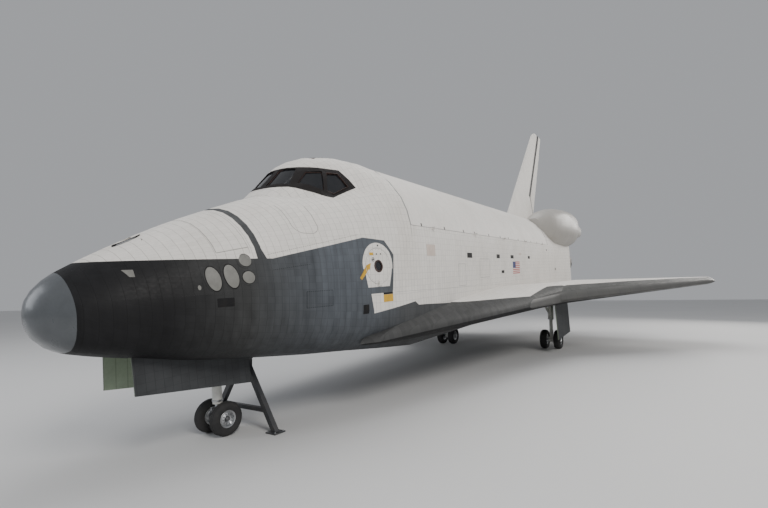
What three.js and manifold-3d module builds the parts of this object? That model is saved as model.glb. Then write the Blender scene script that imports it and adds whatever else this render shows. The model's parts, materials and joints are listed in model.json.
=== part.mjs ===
// Winged space orbiter on its landing gear, one closed body per named part.
// Stations are in inches (X aft from a datum ahead of the nose, Y to
// starboard, Z up from a datum under the keel) and are turned into
// millimetres by IN; the whole craft then takes its nose-down stance.
import * as THREE from 'three';
import { mergeVertices } from 'three/addons/utils/BufferGeometryUtils.js';
import Module from 'manifold-3d';

const solid = await Module();
solid.setup();

// Dimensions
const IN = 25.4;              // one inch in millimetres
const X_NOSE = 238;           // station of the nose tip
const Z_BAY = 400;            // height of the payload bay centre line
const STANCE = 3.5;           // nose-down stance on the gear, degrees
const X_CAP = 256;            // rear edge of the nose cap
const X_CREW = 400;           // front of the crew section
const X_BAY = 582;            // front of the payload bay
const X_AFT = 1307;           // rear of the payload bay
const X_BASE = 1528;          // base of the fuselage
const BAY_R = 91;             // radius of the payload bay
const DOOR_Z = 415.6;         // lower edge of the payload bay doors
const DOOR_T = 3.6;           // thickness of the payload bay doors
const HINGE_X = 1387;         // elevon hinge line
const WING_TIP = 468.3;       // half span
const HINGE_LINE = { yIn: 119, zIn: 287.8, rIn: 9.2, yOut: 462, zOut: 307.6, rOut: 5.5 };  // elevon hinge
const ELEVON = { inner: [122.5, 311], outer: [316, 462], up: 35, down: 20 };  // spans and travel, degrees
const FIT = 0.02;             // gap between fixed neighbours (0.5 mm)
const RUN = 0.45;             // gap beside moving parts (11 mm)
const PIN_GAP = 0.012;        // least running gap round a pin (0.3 mm)
const HATCH = { x: 510.5, z: 365, r: 20, window: 5.2 };
const NOSE_GEAR = { x: 377, hub: 226.6, tyreR: 16, tyreW: 8.8, half: 11.5 };
const MAIN_GEAR = { x: 1165, y: 136, hub: 184.68, tyreR: 22.25, tyreW: 16, half: 15.5 };
const FIN = { rootZ: 498, tipZ: 813.7, rootX: 1281, tipTeX: 1704, halfThick: 0.052, cornerZ: 792, soft: 0.055 };

// Conversions
const at = (x, y, z) => [(x - X_NOSE) * IN, y * IN, (z - Z_BAY) * IN];
const rad = THREE.MathUtils.degToRad;
const stance = new THREE.Matrix4();
{
  const c = Math.cos(rad(STANCE));
  const s = Math.sin(rad(STANCE));
  const hub = at(MAIN_GEAR.x, 0, MAIN_GEAR.hub);
  const ground = hub[0] * s + hub[2] * c - MAIN_GEAR.tyreR * IN;
  stance.set(c, 0, -s, 0, 0, 1, 0, 0, s, 0, c, -ground, 0, 0, 0, 1);
}

// Solid builders
function fromArrays(verts, tris) {
  let volume = 0;
  for (let i = 0; i < tris.length; i += 3) {
    const [a, b, c] = [0, 1, 2].map((k) => verts[tris[i + k]]);
    volume += a[0] * (b[1] * c[2] - b[2] * c[1])
      - a[1] * (b[0] * c[2] - b[2] * c[0])
      + a[2] * (b[0] * c[1] - b[1] * c[0]);
  }
  if (volume < 0) {
    for (let i = 0; i < tris.length; i += 3) [tris[i + 1], tris[i + 2]] = [tris[i + 2], tris[i + 1]];
  }
  return new solid.Manifold(new solid.Mesh({
    numProp: 3,
    vertProperties: Float32Array.from(verts.flat()),
    triVerts: Uint32Array.from(tris),
  }));
}

// Triangles of a flat closed outline, in its own turning sense.
function earClip(contour) {
  const sense = THREE.ShapeUtils.area(contour) < 0 ? -1 : 1;
  const turn = (a, b, c) => sense * ((b.x - a.x) * (c.y - a.y) - (b.y - a.y) * (c.x - a.x));
  const left = contour.map((_, i) => i);
  const out = [];
  while (left.length > 3) {
    let best = -1;
    let bestScore = -Infinity;
    for (let i = 0; i < left.length; i += 1) {
      const [ia, ib, ic] = [left[(i + left.length - 1) % left.length], left[i], left[(i + 1) % left.length]];
      const [a, b, c] = [contour[ia], contour[ib], contour[ic]];
      const size = turn(a, b, c);
      const blocked = size > 0 && left.some((k) => k !== ia && k !== ib && k !== ic
        && turn(a, b, contour[k]) >= 0 && turn(b, c, contour[k]) >= 0 && turn(c, a, contour[k]) >= 0);
      if (size > 0 && !blocked) {
        const score = size / (a.distanceToSquared(c) + 1e-9);
        if (score > bestScore) [best, bestScore] = [i, score];
      }
    }
    if (best < 0) best = 0;
    out.push([left[(best + left.length - 1) % left.length], left[best], left[(best + 1) % left.length]]);
    left.splice(best, 1);
  }
  out.push([...left]);
  return out;
}

// Index of the axis that a flat loop of points faces most.
function mainAxis(loop) {
  const normal = [0, 0, 0];
  loop.forEach((p, i) => {
    const q = loop[(i + 1) % loop.length];
    for (const k of [0, 1, 2]) normal[k] += p[(k + 1) % 3] * q[(k + 2) % 3] - p[(k + 2) % 3] * q[(k + 1) % 3];
  });
  const size = normal.map(Math.abs);
  return size.indexOf(Math.max(...size));
}

// Body through closed loops of points, the flat ends filled in.
function loft(loops) {
  const n = loops[0].length;
  const verts = loops.flat();
  const tris = [];
  for (let i = 0; i + 1 < loops.length; i += 1) {
    for (let j = 0; j < n; j += 1) {
      const a = i * n + j;
      const b = i * n + ((j + 1) % n);
      tris.push(a, b, a + n, b, b + n, a + n);
    }
  }
  for (const row of [0, loops.length - 1]) {
    const drop = mainAxis(loops[row]);
    const [u, v] = [0, 1, 2].filter((k) => k !== drop);
    for (const [a, b, c] of earClip(loops[row].map((p) => new THREE.Vector2(p[u], p[v])))) {
      const [i, j, k] = [a, b, c].map((q) => row * n + q);
      if (row === 0) tris.push(i, k, j);
      else tris.push(i, j, k);
    }
  }
  return fromArrays(verts, tris);
}

function fromGeometry(geometry) {
  geometry.deleteAttribute('normal');
  geometry.deleteAttribute('uv');
  const g = mergeVertices(geometry, 1e-3);
  const p = g.getAttribute('position');
  const verts = [];
  for (let i = 0; i < p.count; i += 1) verts.push([p.getX(i), p.getY(i), p.getZ(i)]);
  return fromArrays(verts, Array.from(g.getIndex().array));
}

const join = (...bodies) => bodies.reduce((a, b) => a.add(b));
const cut = (body, ...tools) => tools.reduce((a, b) => a.subtract(b), body);
const common = (a, b) => a.intersect(b);

function block(x0, x1, y0, y1, z0, z1) {
  const ring = (x) => [at(x, y0, z0), at(x, y1, z0), at(x, y1, z1), at(x, y0, z1)];
  return loft([ring(x0), ring(x1)]);
}

// Turn that points a body's own long axis along a direction.
const turnFromUp = (dir) => {
  const up = new THREE.Vector3(0, 1, 0);
  return new THREE.Quaternion().setFromUnitVectors(up, dir.normalize());
};

// Round bar between two station points, radii in inches; `turn` is the angle
// that its facets are turned by.
function bar(p, q, r0, r1 = r0, sides = 20, turn = 0) {
  const a = new THREE.Vector3(...at(...p));
  const b = new THREE.Vector3(...at(...q));
  const g = new THREE.CylinderGeometry(r1 * IN, r0 * IN, a.distanceTo(b), sides, 1, false, turn);
  g.applyQuaternion(turnFromUp(b.clone().sub(a)));
  const mid = a.add(b).multiplyScalar(0.5);
  g.translate(mid.x, mid.y, mid.z);
  return fromGeometry(g);
}

// Turned body about an axis that starts at p and points along dir; the
// profile lists radius and distance along the axis in inches.
function turned(profile, p, dir, sides = 32) {
  const pts = profile.map(([r, h]) => new THREE.Vector2(r * IN, h * IN));
  if (profile[0][0] > 1e-6 || profile[profile.length - 1][0] > 1e-6) pts.push(pts[0].clone());
  const g = new THREE.LatheGeometry(pts, sides);
  g.applyQuaternion(turnFromUp(new THREE.Vector3(...dir)));
  g.translate(...at(...p));
  return fromGeometry(g);
}

// Upright prism over a plan outline of [X, Y] pairs.
function plan(outline, z0, z1) {
  return loft([outline.map(([x, y]) => at(x, y, z0)), outline.map(([x, y]) => at(x, y, z1))]);
}

// Prism across the craft over a side outline of [X, Z] pairs.
function side(outline, y0, y1) {
  return loft([outline.map(([x, z]) => at(x, y0, z)), outline.map(([x, z]) => at(x, y1, z))]);
}

const mirror = (body) => body.mirror([0, 1, 0]);

// Fuselage
// X, then nine half-section points [Y, Z] from the crown to the keel
const BODY = [
  [238, [0, 339.6], [0.7, 339.4], [1.2, 339.1], [1.6, 338.6], [1.8, 338.1],
    [1.8, 337.5], [1.6, 336.6], [1, 336.1], [0, 335.9]],
  [238.8, [0, 345.3], [2.3, 344.8], [4.2, 343.4], [5.7, 341.4], [6.4, 339.2],
    [6.5, 336.9], [5.8, 333.4], [3.9, 331.4], [0, 330.8]],
  [240.5, [0, 350.6], [4.2, 349.7], [7.6, 347.3], [10.2, 344], [11.5, 340.2],
    [11.6, 336.4], [10.3, 331], [6.9, 327.3], [0, 326]],
  [244, [0, 356.4], [6.3, 354.8], [11.3, 351.2], [15.2, 346.2], [17.3, 340.7],
    [17.5, 335], [15.6, 327], [10.5, 321.8], [0, 320]],
  [250, [0, 362.6], [9, 360.4], [16.1, 355], [21.7, 348], [24.5, 341.1],
    [24.9, 334], [22.3, 323.5], [15, 316.3], [0, 314]],
  [260, [0, 369.6], [12.5, 366.4], [22.6, 359.4], [30, 350.5], [33.6, 342.1],
    [34.1, 334], [31, 320], [21, 311], [0, 308.5]],
  [280, [0, 380.6], [17, 376.8], [31, 367.5], [40.5, 355.8], [45, 345.1],
    [46, 335], [43, 317.5], [30, 306], [0, 303]],
  [307, [0, 394.4], [21, 389.7], [38, 378.6], [49.5, 364.5], [54.5, 350],
    [56, 336], [51.5, 316], [36, 300.5], [0, 297]],
  [334, [0, 407], [24, 402], [43.5, 389.5], [56, 374], [61.8, 356],
    [64, 337], [58.5, 313], [41, 295], [0, 291]],
  [365, [0, 419.5], [27, 414.5], [50, 400], [65.3, 382.5], [71.5, 360],
    [73, 338], [67.5, 309.5], [48, 290.4], [0, 286]],
  [400, [0, 432.6], [30, 427.5], [54.5, 413], [71, 390], [79, 364],
    [80.3, 338], [74.5, 307], [53.5, 286], [0, 281]],
  [425, [0, 441], [31.5, 437], [57.5, 425], [75.5, 402], [84.5, 372],
    [86, 340], [80.5, 306], [59, 283], [0, 278]],
  [455, [0, 446], [36, 442.5], [65, 430], [83, 406], [91, 375],
    [92.5, 340], [87.5, 303], [66, 278.8], [0, 275]],
  [490, [0, 455], [42, 451], [74, 437], [91, 411], [98, 378], [99, 340], [95, 299], [73, 274.7], [0, 272]],
  [530, [0, 474], [48, 468], [82, 448], [98, 415], [103, 380],
    [103.5, 335], [101, 293], [83, 270.6], [0, 269]],
  [560, [0, 495], [51, 483], [87.5, 452], [101.5, 416], [104.7, 380],
    [105, 332], [104, 289.5], [92, 268.3], [0, 267]],
  [577, [0, 503.5], [52, 489.6], [89.6, 451.7], [102.5, 416], [105, 380],
    [105, 330], [105, 288], [97, 267.2], [0, 266]],
  [1307, [0, 503.5], [52, 489.6], [89.6, 451.7], [102.5, 416], [105, 380],
    [105, 330], [105, 288], [98, 267.2], [0, 266]],
  [1387, [0, 503], [52.5, 489.3], [91, 452], [105, 416], [107, 380],
    [107, 335], [106.5, 291], [100, 271], [0, 269.6]],
  [1450, [0, 499], [56, 489], [97, 453], [111, 416], [112.5, 380],
    [113, 335], [112, 297], [106, 277], [0, 275.2]],
  [1528, [0, 493], [64, 487], [104, 456], [116.5, 418], [118.5, 380],
    [120, 335], [120, 302], [114, 284.5], [0, 282.5]],
];

// X, then five half-section points [Y, Z] of the flight deck canopy
const CANOPY = [
  [429, [0, 438.5], [10, 438.2], [16, 437], [20, 435], [22, 420]],
  [431, [0, 441.8], [10, 441.4], [18, 440], [23, 437.6], [26, 420]],
  [440, [0, 450.5], [11, 450], [22, 447], [34, 439], [37, 420]],
  [455, [0, 465], [12, 464], [25, 459.2], [46, 438.5], [50, 418]],
  [470, [0, 480], [13, 479], [30, 470.5], [55, 439], [59, 415]],
  [478, [0, 486], [14, 485], [33, 476], [58, 440], [63, 412]],
  [490, [0, 492.5], [18, 491], [38, 481], [62, 442], [68, 410]],
  [505, [0, 498.3], [22, 495.6], [44, 483.5], [66, 444.5], [74, 408]],
  [530, [0, 502.4], [29, 498.2], [54, 483.5], [75, 448], [86, 405]],
  [560, [0, 503.8], [42, 495.3], [70, 476], [89, 446], [98, 402]],
  [X_BAY, [0, 503.4], [51.5, 489.4], [80, 464.5], [97, 432], [103, 400]],
];
const CANOPY_LOW = 396;       // level at which the canopy loops close, inside the fuselage
const CANOPY_X = 429;         // front of the canopy

// Points of a station table at X, by a smooth curve through the stations.
function tableAt(table, x) {
  let i = table.findIndex((row) => row[0] >= x - 1e-9);
  if (i < 0) i = table.length - 1;
  if (Math.abs(table[i][0] - x) < 1e-9) return table[i].slice(1);
  const [r1, r2] = [table[i - 1], table[i]];
  const r0 = table[i - 2] || r1;
  const r3 = table[i + 1] || r2;
  const h = r2[0] - r1[0];
  const t = (x - r1[0]) / h;
  const slope = (a, b, k, c) => (b[0] === a[0] ? 0 : (b[k][c] - a[k][c]) / (b[0] - a[0]));
  return r1.slice(1).map((_, j) => [0, 1].map((c) => {
    const k = j + 1;
    const d = slope(r1, r2, k, c);
    const tame = (m) => (d * m <= 0 ? 0 : Math.sign(d) * Math.min(Math.abs(m), 3 * Math.abs(d)));
    const m1 = tame(r0 === r1 ? d : slope(r0, r2, k, c)) * h;
    const m2 = tame(r3 === r2 ? d : slope(r1, r3, k, c)) * h;
    const [p1, p2] = [r1[k][c], r2[k][c]];
    return (2 * t ** 3 - 3 * t ** 2 + 1) * p1 + (t ** 3 - 2 * t ** 2 + t) * m1
      + (-2 * t ** 3 + 3 * t ** 2) * p2 + (t ** 3 - t ** 2) * m2;
  }));
}

// Section points moved towards the inside by `inset` inches.
function insetLoop(pts, inset) {
  if (!inset) return pts;
  const n = pts.length;
  const area = pts.reduce((s, [y, z], i) => s + y * pts[(i + 1) % n][1] - pts[(i + 1) % n][0] * z, 0);
  const sign = area > 0 ? 1 : -1;
  return pts.map(([y, z], i) => {
    const [a, b] = [pts[(i + n - 1) % n], pts[(i + 1) % n]];
    const [dy, dz] = [b[0] - a[0], b[1] - a[1]];
    const len = Math.hypot(dy, dz) || 1;
    return [y - (sign * dz / len) * inset, z + (sign * dy / len) * inset];
  });
}

const curveThrough = (pts, closed) => new THREE.CatmullRomCurve3(
  pts.map(([y, z]) => new THREE.Vector3(y, z, 0)),
  closed,
  'centripetal',
);

// Closed section loop of the fuselage at X, `fine` points to each table point.
function bodyLoop(x, inset = 0, fine = 2) {
  const half = tableAt(BODY, x);
  const ring = [...half, ...half.slice(1, -1).reverse().map(([y, z]) => [-y, z])];
  const curve = curveThrough(ring, true);
  const n = ring.length * fine;
  const pts = Array.from({ length: n }, (_, i) => curve.getPoint(i / n)).map((p) => [p.x, p.y]);
  return insetLoop(pts, inset).map(([y, z]) => at(x, y, z));
}

// Closed section loop of the canopy at X, its low side inside the fuselage.
function canopyLoop(x, inset = 0) {
  const half = tableAt(CANOPY, x);
  const curve = curveThrough([...half.slice().reverse().map(([y, z]) => [-y, z]), ...half.slice(1)], false);
  const n = (half.length - 1) * 4;
  const pts = Array.from({ length: n + 1 }, (_, i) => curve.getPoint(i / n)).map((p) => [p.x, p.y]);
  const last = half[half.length - 1][0];
  const ring = [...pts, [last, CANOPY_LOW], [-last, CANOPY_LOW]];
  return insetLoop(ring, inset).map(([y, z]) => at(x, y, z));
}

const MORE_STATIONS = [270, 293, 320, 350, 382, 412, 440, 472, 510, 545];
function stationsBetween(x0, x1) {
  const inner = [...BODY.map((row) => row[0]), ...MORE_STATIONS].filter((x) => x > x0 + 0.5 && x < x1 - 0.5);
  return [...new Set([x0, ...inner, x1])].sort((a, b) => a - b);
}
const body = (x0, x1, inset = 0, fine = 2) => (
  loft(stationsBetween(x0, x1).map((x) => bodyLoop(x, inset, fine)))
);
function canopy(x0, x1, inset = 0) {
  const inner = CANOPY.map((row) => row[0]).filter((x) => x > x0 && x < x1);
  return loft([x0, ...inner, x1].map((x) => canopyLoop(x, inset)));
}

// Whole fuselage grown by one gap, for cutting what stands on it; joined to
// its mirror image so that both sides cut alike.
const outerOne = join(
  body(X_NOSE, X_BASE, -FIT),
  canopy(CANOPY_X, X_BAY, -FIT),
  loft([bodyLoop(X_BASE - 1, -FIT), bodyLoop(X_BASE, -FIT).map(([x, y, z]) => [x + FIT * IN, y, z])]),
);
const outer = join(outerOne, mirror(outerOne));

// Hinges
const PIN_SIDES = 6;
const alongLine = (p, dir, s) => {
  const way = new THREE.Vector3(...dir).normalize();
  return new THREE.Vector3(...p).addScaledVector(way, s).toArray();
};
const barAlong = (p, dir, from, to, r, sides) => (
  bar(alongLine(p, dir, from), alongLine(p, dir, to), r, r, sides)
);
// Bore for a pin of radius r: its flats lie one running gap off the pin's
// corners, so the pin turns freely and is close at rest.
function bore(p, q, r, sides) {
  const free = (r + PIN_GAP) / Math.cos(Math.PI / sides);
  return bar(p, q, free, free, sides, Math.PI / sides);
}
const boreAlong = (p, dir, from, to, r, sides) => (
  bore(alongLine(p, dir, from), alongLine(p, dir, to), r, sides)
);

// Lug with a cross pin on one side of a hinge, and the slot and blind bores
// that it runs in on the other; `arm` is the solid that carries the lug.
function lugHinge(p, dir, { half, lugR, slotR, pinR, reach }, arm) {
  const pinEnd = half + RUN + reach;
  return {
    lug: join(
      arm,
      barAlong(p, dir, -half, half, lugR, PIN_SIDES),
      barAlong(p, dir, -pinEnd, pinEnd, pinR, PIN_SIDES),
    ),
    room: join(
      barAlong(p, dir, -half - RUN, half + RUN, slotR, 14),
      boreAlong(p, dir, -pinEnd - RUN, pinEnd + RUN, pinR, PIN_SIDES),
    ),
  };
}

// Nose
const MODULE = { x0: 276, x1: 377, z: 346 };      // zone of the nose thruster module
const NOSE_WELL = { x0: 292, x1: 399, half: 19.5, z: 322 };
const SIDE_THRUSTERS = [
  // X, Y, Z of the mouth, the way it faces, radius, depth
  [337, 62.4, 358, [-0.33, 0.92, 0.23], 6.2, 1.4],
  [350.4, 66.7, 360, [-0.31, 0.93, 0.2], 6.2, 1.4],
  [363.2, 68.4, 372.6, [-0.28, 0.9, 0.33], 4.9, 1.2],
  [363.7, 71.3, 358.2, [-0.28, 0.95, 0.12], 4.9, 1.2],
];
const TOP_THRUSTERS = [
  [303.5, 14.65, 391, [-0.85, 0, 0.5], 4.2, 5],
  [303.5, 0, 393, [-0.85, 0, 0.5], 4.2, 5],
  [350.9, 14.4, 413.5, [0, 0, 1], 4.2, 5],
  [350.9, 0, 414.5, [0, 0, 1], 4.2, 5],
];
const flip = ([x, y, z, [u, v, w], r, deep]) => [x, -y, z, [u, -v, w], r, deep];
const thrusters = [...SIDE_THRUSTERS, ...TOP_THRUSTERS].flatMap((t) => (t[1] ? [t, flip(t)] : [t]));
const cup = ([x, y, z, dir, r, deep]) => barAlong([x, y, z], dir, -deep, 9, r, 10);

const noseCap = body(X_NOSE, X_CAP - FIT / 2);
const noseAll = body(X_CAP + FIT / 2, X_CREW - FIT / 2);
const moduleZone = (gap) => block(MODULE.x0 - gap, MODULE.x1 + gap, -120, 120, MODULE.z - gap, 470);
const rcsModule = cut(common(noseAll, moduleZone(0)), ...thrusters.map(cup));
const noseWell = block(NOSE_WELL.x0, NOSE_WELL.x1, -NOSE_WELL.half, NOSE_WELL.half, 240, NOSE_WELL.z);
const noseBody = cut(noseAll, moduleZone(FIT), noseWell);

// Crew section
const ROOM = { x0: 424, x1: 566, wall: 4.2 };     // cabin, with the thickness of its wall
const DOME = { x0: 436, x1: 560, wall: 2 };       // flight deck room and its wall
const GLASS_T = 0.7;
const WINDOWS = [
  // corners [X, Y, Z] and the way the pane faces
  {
    p: [[446.5, 3.8, 454.6], [456.7, 28.6, 454.6], [473.5, 23.6, 475.2], [467.5, 3.4, 476.2]],
    n: [-0.68, 0.25, 0.69],
  },
  {
    p: [[463.8, 33.6, 457], [482.8, 53.4, 448.6], [492, 42.8, 472.6], [475.7, 33.6, 471.6]],
    n: [-0.5, 0.68, 0.53],
  },
  {
    p: [[485.6, 54.6, 449.6], [490.2, 60.2, 446], [512.4, 63.6, 457], [507.4, 52.4, 473], [495.2, 46.6, 472.4]],
    n: [-0.34, 0.82, 0.46],
  },
];
function paneHole({ p, n }, out = 6, deep = 7) {
  const v = new THREE.Vector3(...n).normalize();
  const shifted = (s) => p.map(([x, y, z]) => at(x + v.x * s, y + v.y * s, z + v.z * s));
  return loft([shifted(out), shifted(-deep)]);
}
const paneHoles = WINDOWS.flatMap((w) => [paneHole(w), mirror(paneHole(w))]);
const overheadHoles = [-1, 1].map((s) => block(500, 516, s * 15 - 9, s * 15 + 9, 470, 520));

const hold = (gap) => body(ROOM.x0, ROOM.x1, ROOM.wall + gap, 1);
const room = join(hold(0), canopy(DOME.x0, DOME.x1, DOME.wall));
const roomLess = join(hold(FIT), canopy(DOME.x0, DOME.x1, DOME.wall + FIT));
const glassShell = cut(
  canopy(DOME.x0, DOME.x1, DOME.wall + FIT + 0.01),
  canopy(DOME.x0 + 1, DOME.x1 + 1, DOME.wall + GLASS_T),
);
const windshield = common(glassShell, block(436.1, 517, -80, 80, 443, 478.5));
const overheadGlass = common(glassShell, block(498, 518, -28, 28, 479.5, 520));

// side hatch, hinged along its lower edge
const hatchBar = (r, z = HATCH.z, sides = 40) => bar([HATCH.x, -70, z], [HATCH.x, -125, z], r, r, sides);
const HATCH_HINGE = { y: 102.7, z: 344, slope: 0.1125, pinR: 0.35, ringR: 0.75, ring: 2.2, lug: 3.4, sides: 8 };
const hatchAxis = [[HATCH.x, -HATCH_HINGE.y, HATCH_HINGE.z], [1, -HATCH_HINGE.slope, 0]];
const hatchLugs = [-1, 1].map((s) => {
  const x = HATCH.x + s * (HATCH_HINGE.lug - 0.5);
  const y = -HATCH_HINGE.y - s * (HATCH_HINGE.lug - 0.5) * HATCH_HINGE.slope;
  return block(x - 0.5, x + 0.5, y - 0.7, y + 2.6, HATCH_HINGE.z - 0.8, HATCH_HINGE.z + 0.7);
});
const hatchPinEnd = HATCH_HINGE.lug - 0.2;
const hatchPin = barAlong(...hatchAxis, -hatchPinEnd, hatchPinEnd, HATCH_HINGE.pinR, HATCH_HINGE.sides);
const hatchBore = boreAlong(...hatchAxis, -4, 4, HATCH_HINGE.pinR, HATCH_HINGE.sides);
const hatchArm = cut(
  join(
    barAlong(...hatchAxis, -HATCH_HINGE.ring, HATCH_HINGE.ring, HATCH_HINGE.ringR, HATCH_HINGE.sides),
    block(HATCH.x - 1.8, HATCH.x + 1.8, -103.4, -102.2, HATCH_HINGE.z, 349),
    block(HATCH.x - 1.8, HATCH.x + 1.8, -103.4, -100, 346.6, 349),
  ),
  hatchBore,
);
const hatchShell = cut(body(X_CREW, X_BAY), hold(0));
const hatchWindowHole = hatchBar(HATCH.window, HATCH.z, 24);
const hatchZone = block(480, 545, -130, -60, 330, 400);
const hatchPlate = common(common(hatchShell, hatchBar(HATCH.r - RUN)), hatchZone);
const sideHatch = cut(join(hatchPlate, hatchArm), hatchWindowHole);
const hatchWindow = common(
  hatchBar(HATCH.window - FIT, HATCH.z, 24),
  common(cut(body(X_CREW, X_BAY, 0.6), body(ROOM.x0, ROOM.x1, 2.2)), hatchZone),
);
const crewOuter = join(body(X_CREW + FIT / 2, X_BAY - FIT / 2), canopy(CANOPY_X, X_BAY - FIT / 2));
const crewShell = cut(crewOuter, room, ...paneHoles, hatchBar(HATCH.r), ...overheadHoles);
const crewSection = join(crewShell, ...hatchLugs, hatchPin);

// decks and seats
const DECK = { x0: 450, x1: 556, z: 419, t: 3 };
const flightDeck = join(
  common(block(DECK.x0, DECK.x1, -110, 110, DECK.z, DECK.z + DECK.t), roomLess),
  block(DECK.x0 + 2, DECK.x0 + 14, -30, 30, DECK.z + DECK.t - 0.1, 436),
  block(470, 494, -7, 7, DECK.z + DECK.t - 0.1, 432),
);
const midDeck = common(block(430, 560, -110, 110, 306, 309), roomLess);
const seatAt = (y) => join(
  block(482, 500, y - 9, y + 9, 430, 434),
  block(498, 502.5, y - 9, y + 9, 430, 464),
  block(485, 499, y - 5, y + 5, DECK.z + DECK.t + FIT, 430.1),
);

// Payload bay
const BAY_END = 4;            // thickness of the bay's end walls
const SILL_GAP = 0.5;         // gap under the lower edge of a door
const bayCut = join(
  bar([X_BAY + BAY_END, 0, Z_BAY], [X_AFT - BAY_END, 0, Z_BAY], BAY_R, BAY_R, 40),
  block(X_BAY + BAY_END, X_AFT - BAY_END, -BAY_R, BAY_R, Z_BAY, 520),
);
const DOOR_HINGE = { y: 106.4, z: 414.9, pinR: 0.35, ring: 0.65, lug: 1.8, sides: 6 };
const DOOR_HINGES = [640, 790, 940, 1090, 1240];
function doorHinge(x) {
  const { y, z, pinR, ring, lug, sides } = DOOR_HINGE;
  const cheek = (s) => block(x + s * 1.35 - 0.45, x + s * 1.35 + 0.45, 101.5, y + 0.8, z - 1.3, z + 0.48);
  return {
    fixed: join(cheek(-1), cheek(1), barAlong([x, y, z], [1, 0, 0], -lug + 0.2, lug - 0.2, pinR, sides)),
    moving: cut(
      join(
        block(x - ring, x + ring, y - 0.95, y + 0.85, z - 0.85, z + 1.8),
        block(x - ring, x + ring, 101, y, DOOR_Z + 0.1, z + 1.8),
      ),
      boreAlong([x, y, z], [1, 0, 0], -2, 2, pinR, sides),
    ),
  };
}
const doorHinges = DOOR_HINGES.map(doorHinge);
const midFuselage = join(
  cut(
    body(X_BAY + FIT / 2, X_AFT - FIT / 2),
    bayCut,
    block(X_BAY - 5, X_AFT + 5, -200, 200, DOOR_Z - SILL_GAP, 560),
  ),
  ...doorHinges.flatMap((h) => [h.fixed, mirror(h.fixed)]),
);
const doorShell = cut(body(X_BAY + 2, X_AFT - 2), body(X_BAY - 3, X_AFT + 8, DOOR_T));
const doorRight = join(
  common(doorShell, block(X_BAY - 5, X_AFT + 5, 0.4, 200, DOOR_Z, 560)),
  ...doorHinges.map((h) => h.moving),
);

// Aft fuselage, engines and body flap
const ENGINES = [
  // X, Y, Z of the gimbal, pitch and yaw of the bell in degrees
  { name: 'engine_upper', x: 1445, y: 0, z: 443, pitch: 16, yaw: 0 },
  { name: 'engine_left', x: 1468, y: -53, z: 342.6, pitch: 10, yaw: -3.5 },
  { name: 'engine_right', x: 1468, y: 53, z: 342.6, pitch: 10, yaw: 3.5 },
];
const ROOM_DEPTH = 55;        // from the gimbal to the bottom of an engine's recess
const ENGINE_ROOM = [[0, ROOM_DEPTH], [24, ROOM_DEPTH], [38, 92], [47, 125], [47, 140], [0, 140]];
const BELL = [
  // radius and distance from the gimbal: the mount, the outside, the inside
  [0, ROOM_DEPTH + FIT], [10, ROOM_DEPTH + FIT], [10, 60], [13, 64],
  [22, 84], [30, 102], [37, 122], [42, 141], [45.5, 157],
  [44.3, 157], [40.8, 141], [35.6, 122], [28.5, 102], [20.6, 84], [12, 71], [0, 70],
];
const bellAxis = ({ pitch, yaw }) => [
  Math.cos(rad(pitch)) * Math.cos(rad(yaw)),
  Math.sin(rad(yaw)),
  Math.sin(rad(pitch)),
];
const bells = ENGINES.map((e) => turned(BELL, [e.x, e.y, e.z], bellAxis(e), 20));
const bellRooms = ENGINES.map((e) => turned(ENGINE_ROOM, [e.x, e.y, e.z], bellAxis(e), 20));

const FLAP = { x: 1541, z: 288.5, r: 7.6, tip: 1613, half: 110 };
const FLAP_LUG = { half: 1.5, lugR: 2.6, slotR: FLAP.r + 0.5, pinR: 0.7, reach: 2.5 };
const FLAP_ARM = [
  [X_BASE - 3, FLAP.z - 3], [FLAP.x, FLAP.z - 2.4], [FLAP.x, FLAP.z + 2.4], [X_BASE - 3, FLAP.z + 9],
];
const FLAP_LUG_Y = [-66, 0, 66];
const flapHinges = FLAP_LUG_Y.map((y) => lugHinge(
  [FLAP.x, y, FLAP.z],
  [0, 1, 0],
  FLAP_LUG,
  side(FLAP_ARM, y - FLAP_LUG.half, y + FLAP_LUG.half),
));
function flapLoop(y) {
  const nose = Array.from({ length: 13 }, (_, i) => rad(90 + 15 * i))
    .map((a) => [FLAP.x + FLAP.r * Math.cos(a), FLAP.z + FLAP.r * Math.sin(a)]);
  return [...nose, [FLAP.tip, FLAP.z - 6.6], [FLAP.tip, FLAP.z - 5.4]].map(([x, z]) => at(x, y, z));
}
const bodyFlap = cut(loft([flapLoop(-FLAP.half), flapLoop(FLAP.half)]), ...flapHinges.map((h) => h.room));
const aftFuselage = join(cut(body(X_AFT + FIT / 2, X_BASE), ...bellRooms), ...flapHinges.map((h) => h.lug));

// Wings
const GLOVE = { x: 500, y: 104, run: 524 / 84 };  // root of the glove and its sweep
const leadingEdge = (y) => {
  const glove = GLOVE.x + (y - GLOVE.y) * GLOVE.run;
  const outerLine = 836.2 + y;
  return Math.max(Math.min(glove, outerLine), GLOVE.x - (GLOVE.y - Math.min(y, GLOVE.y)));
};
const GLOVE_END = 188;        // Y where the glove meets the outer panel
const trailingEdge = (y) => 1525.4 - 0.1773 * y;
const wingRef = (y) => 283.2 + (y - GLOVE.y) * Math.tan(rad(3.5));
const wingThick = (y) => {
  if (y < GLOVE_END) return 60 - (y - GLOVE.y) * (12 / 84);
  const t = (y - GLOVE_END) / (WING_TIP - GLOVE_END);
  return 48 * (1 - t) + 14.5 * t;
};
const alongHinge = (y, a, b) => a + ((y - HINGE_LINE.yIn) / (HINGE_LINE.yOut - HINGE_LINE.yIn)) * (b - a);
const hingeZ = (y) => alongHinge(y, HINGE_LINE.zIn, HINGE_LINE.zOut);
const elevonR = (y) => alongHinge(y, HINGE_LINE.rIn, HINGE_LINE.rOut);
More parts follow.
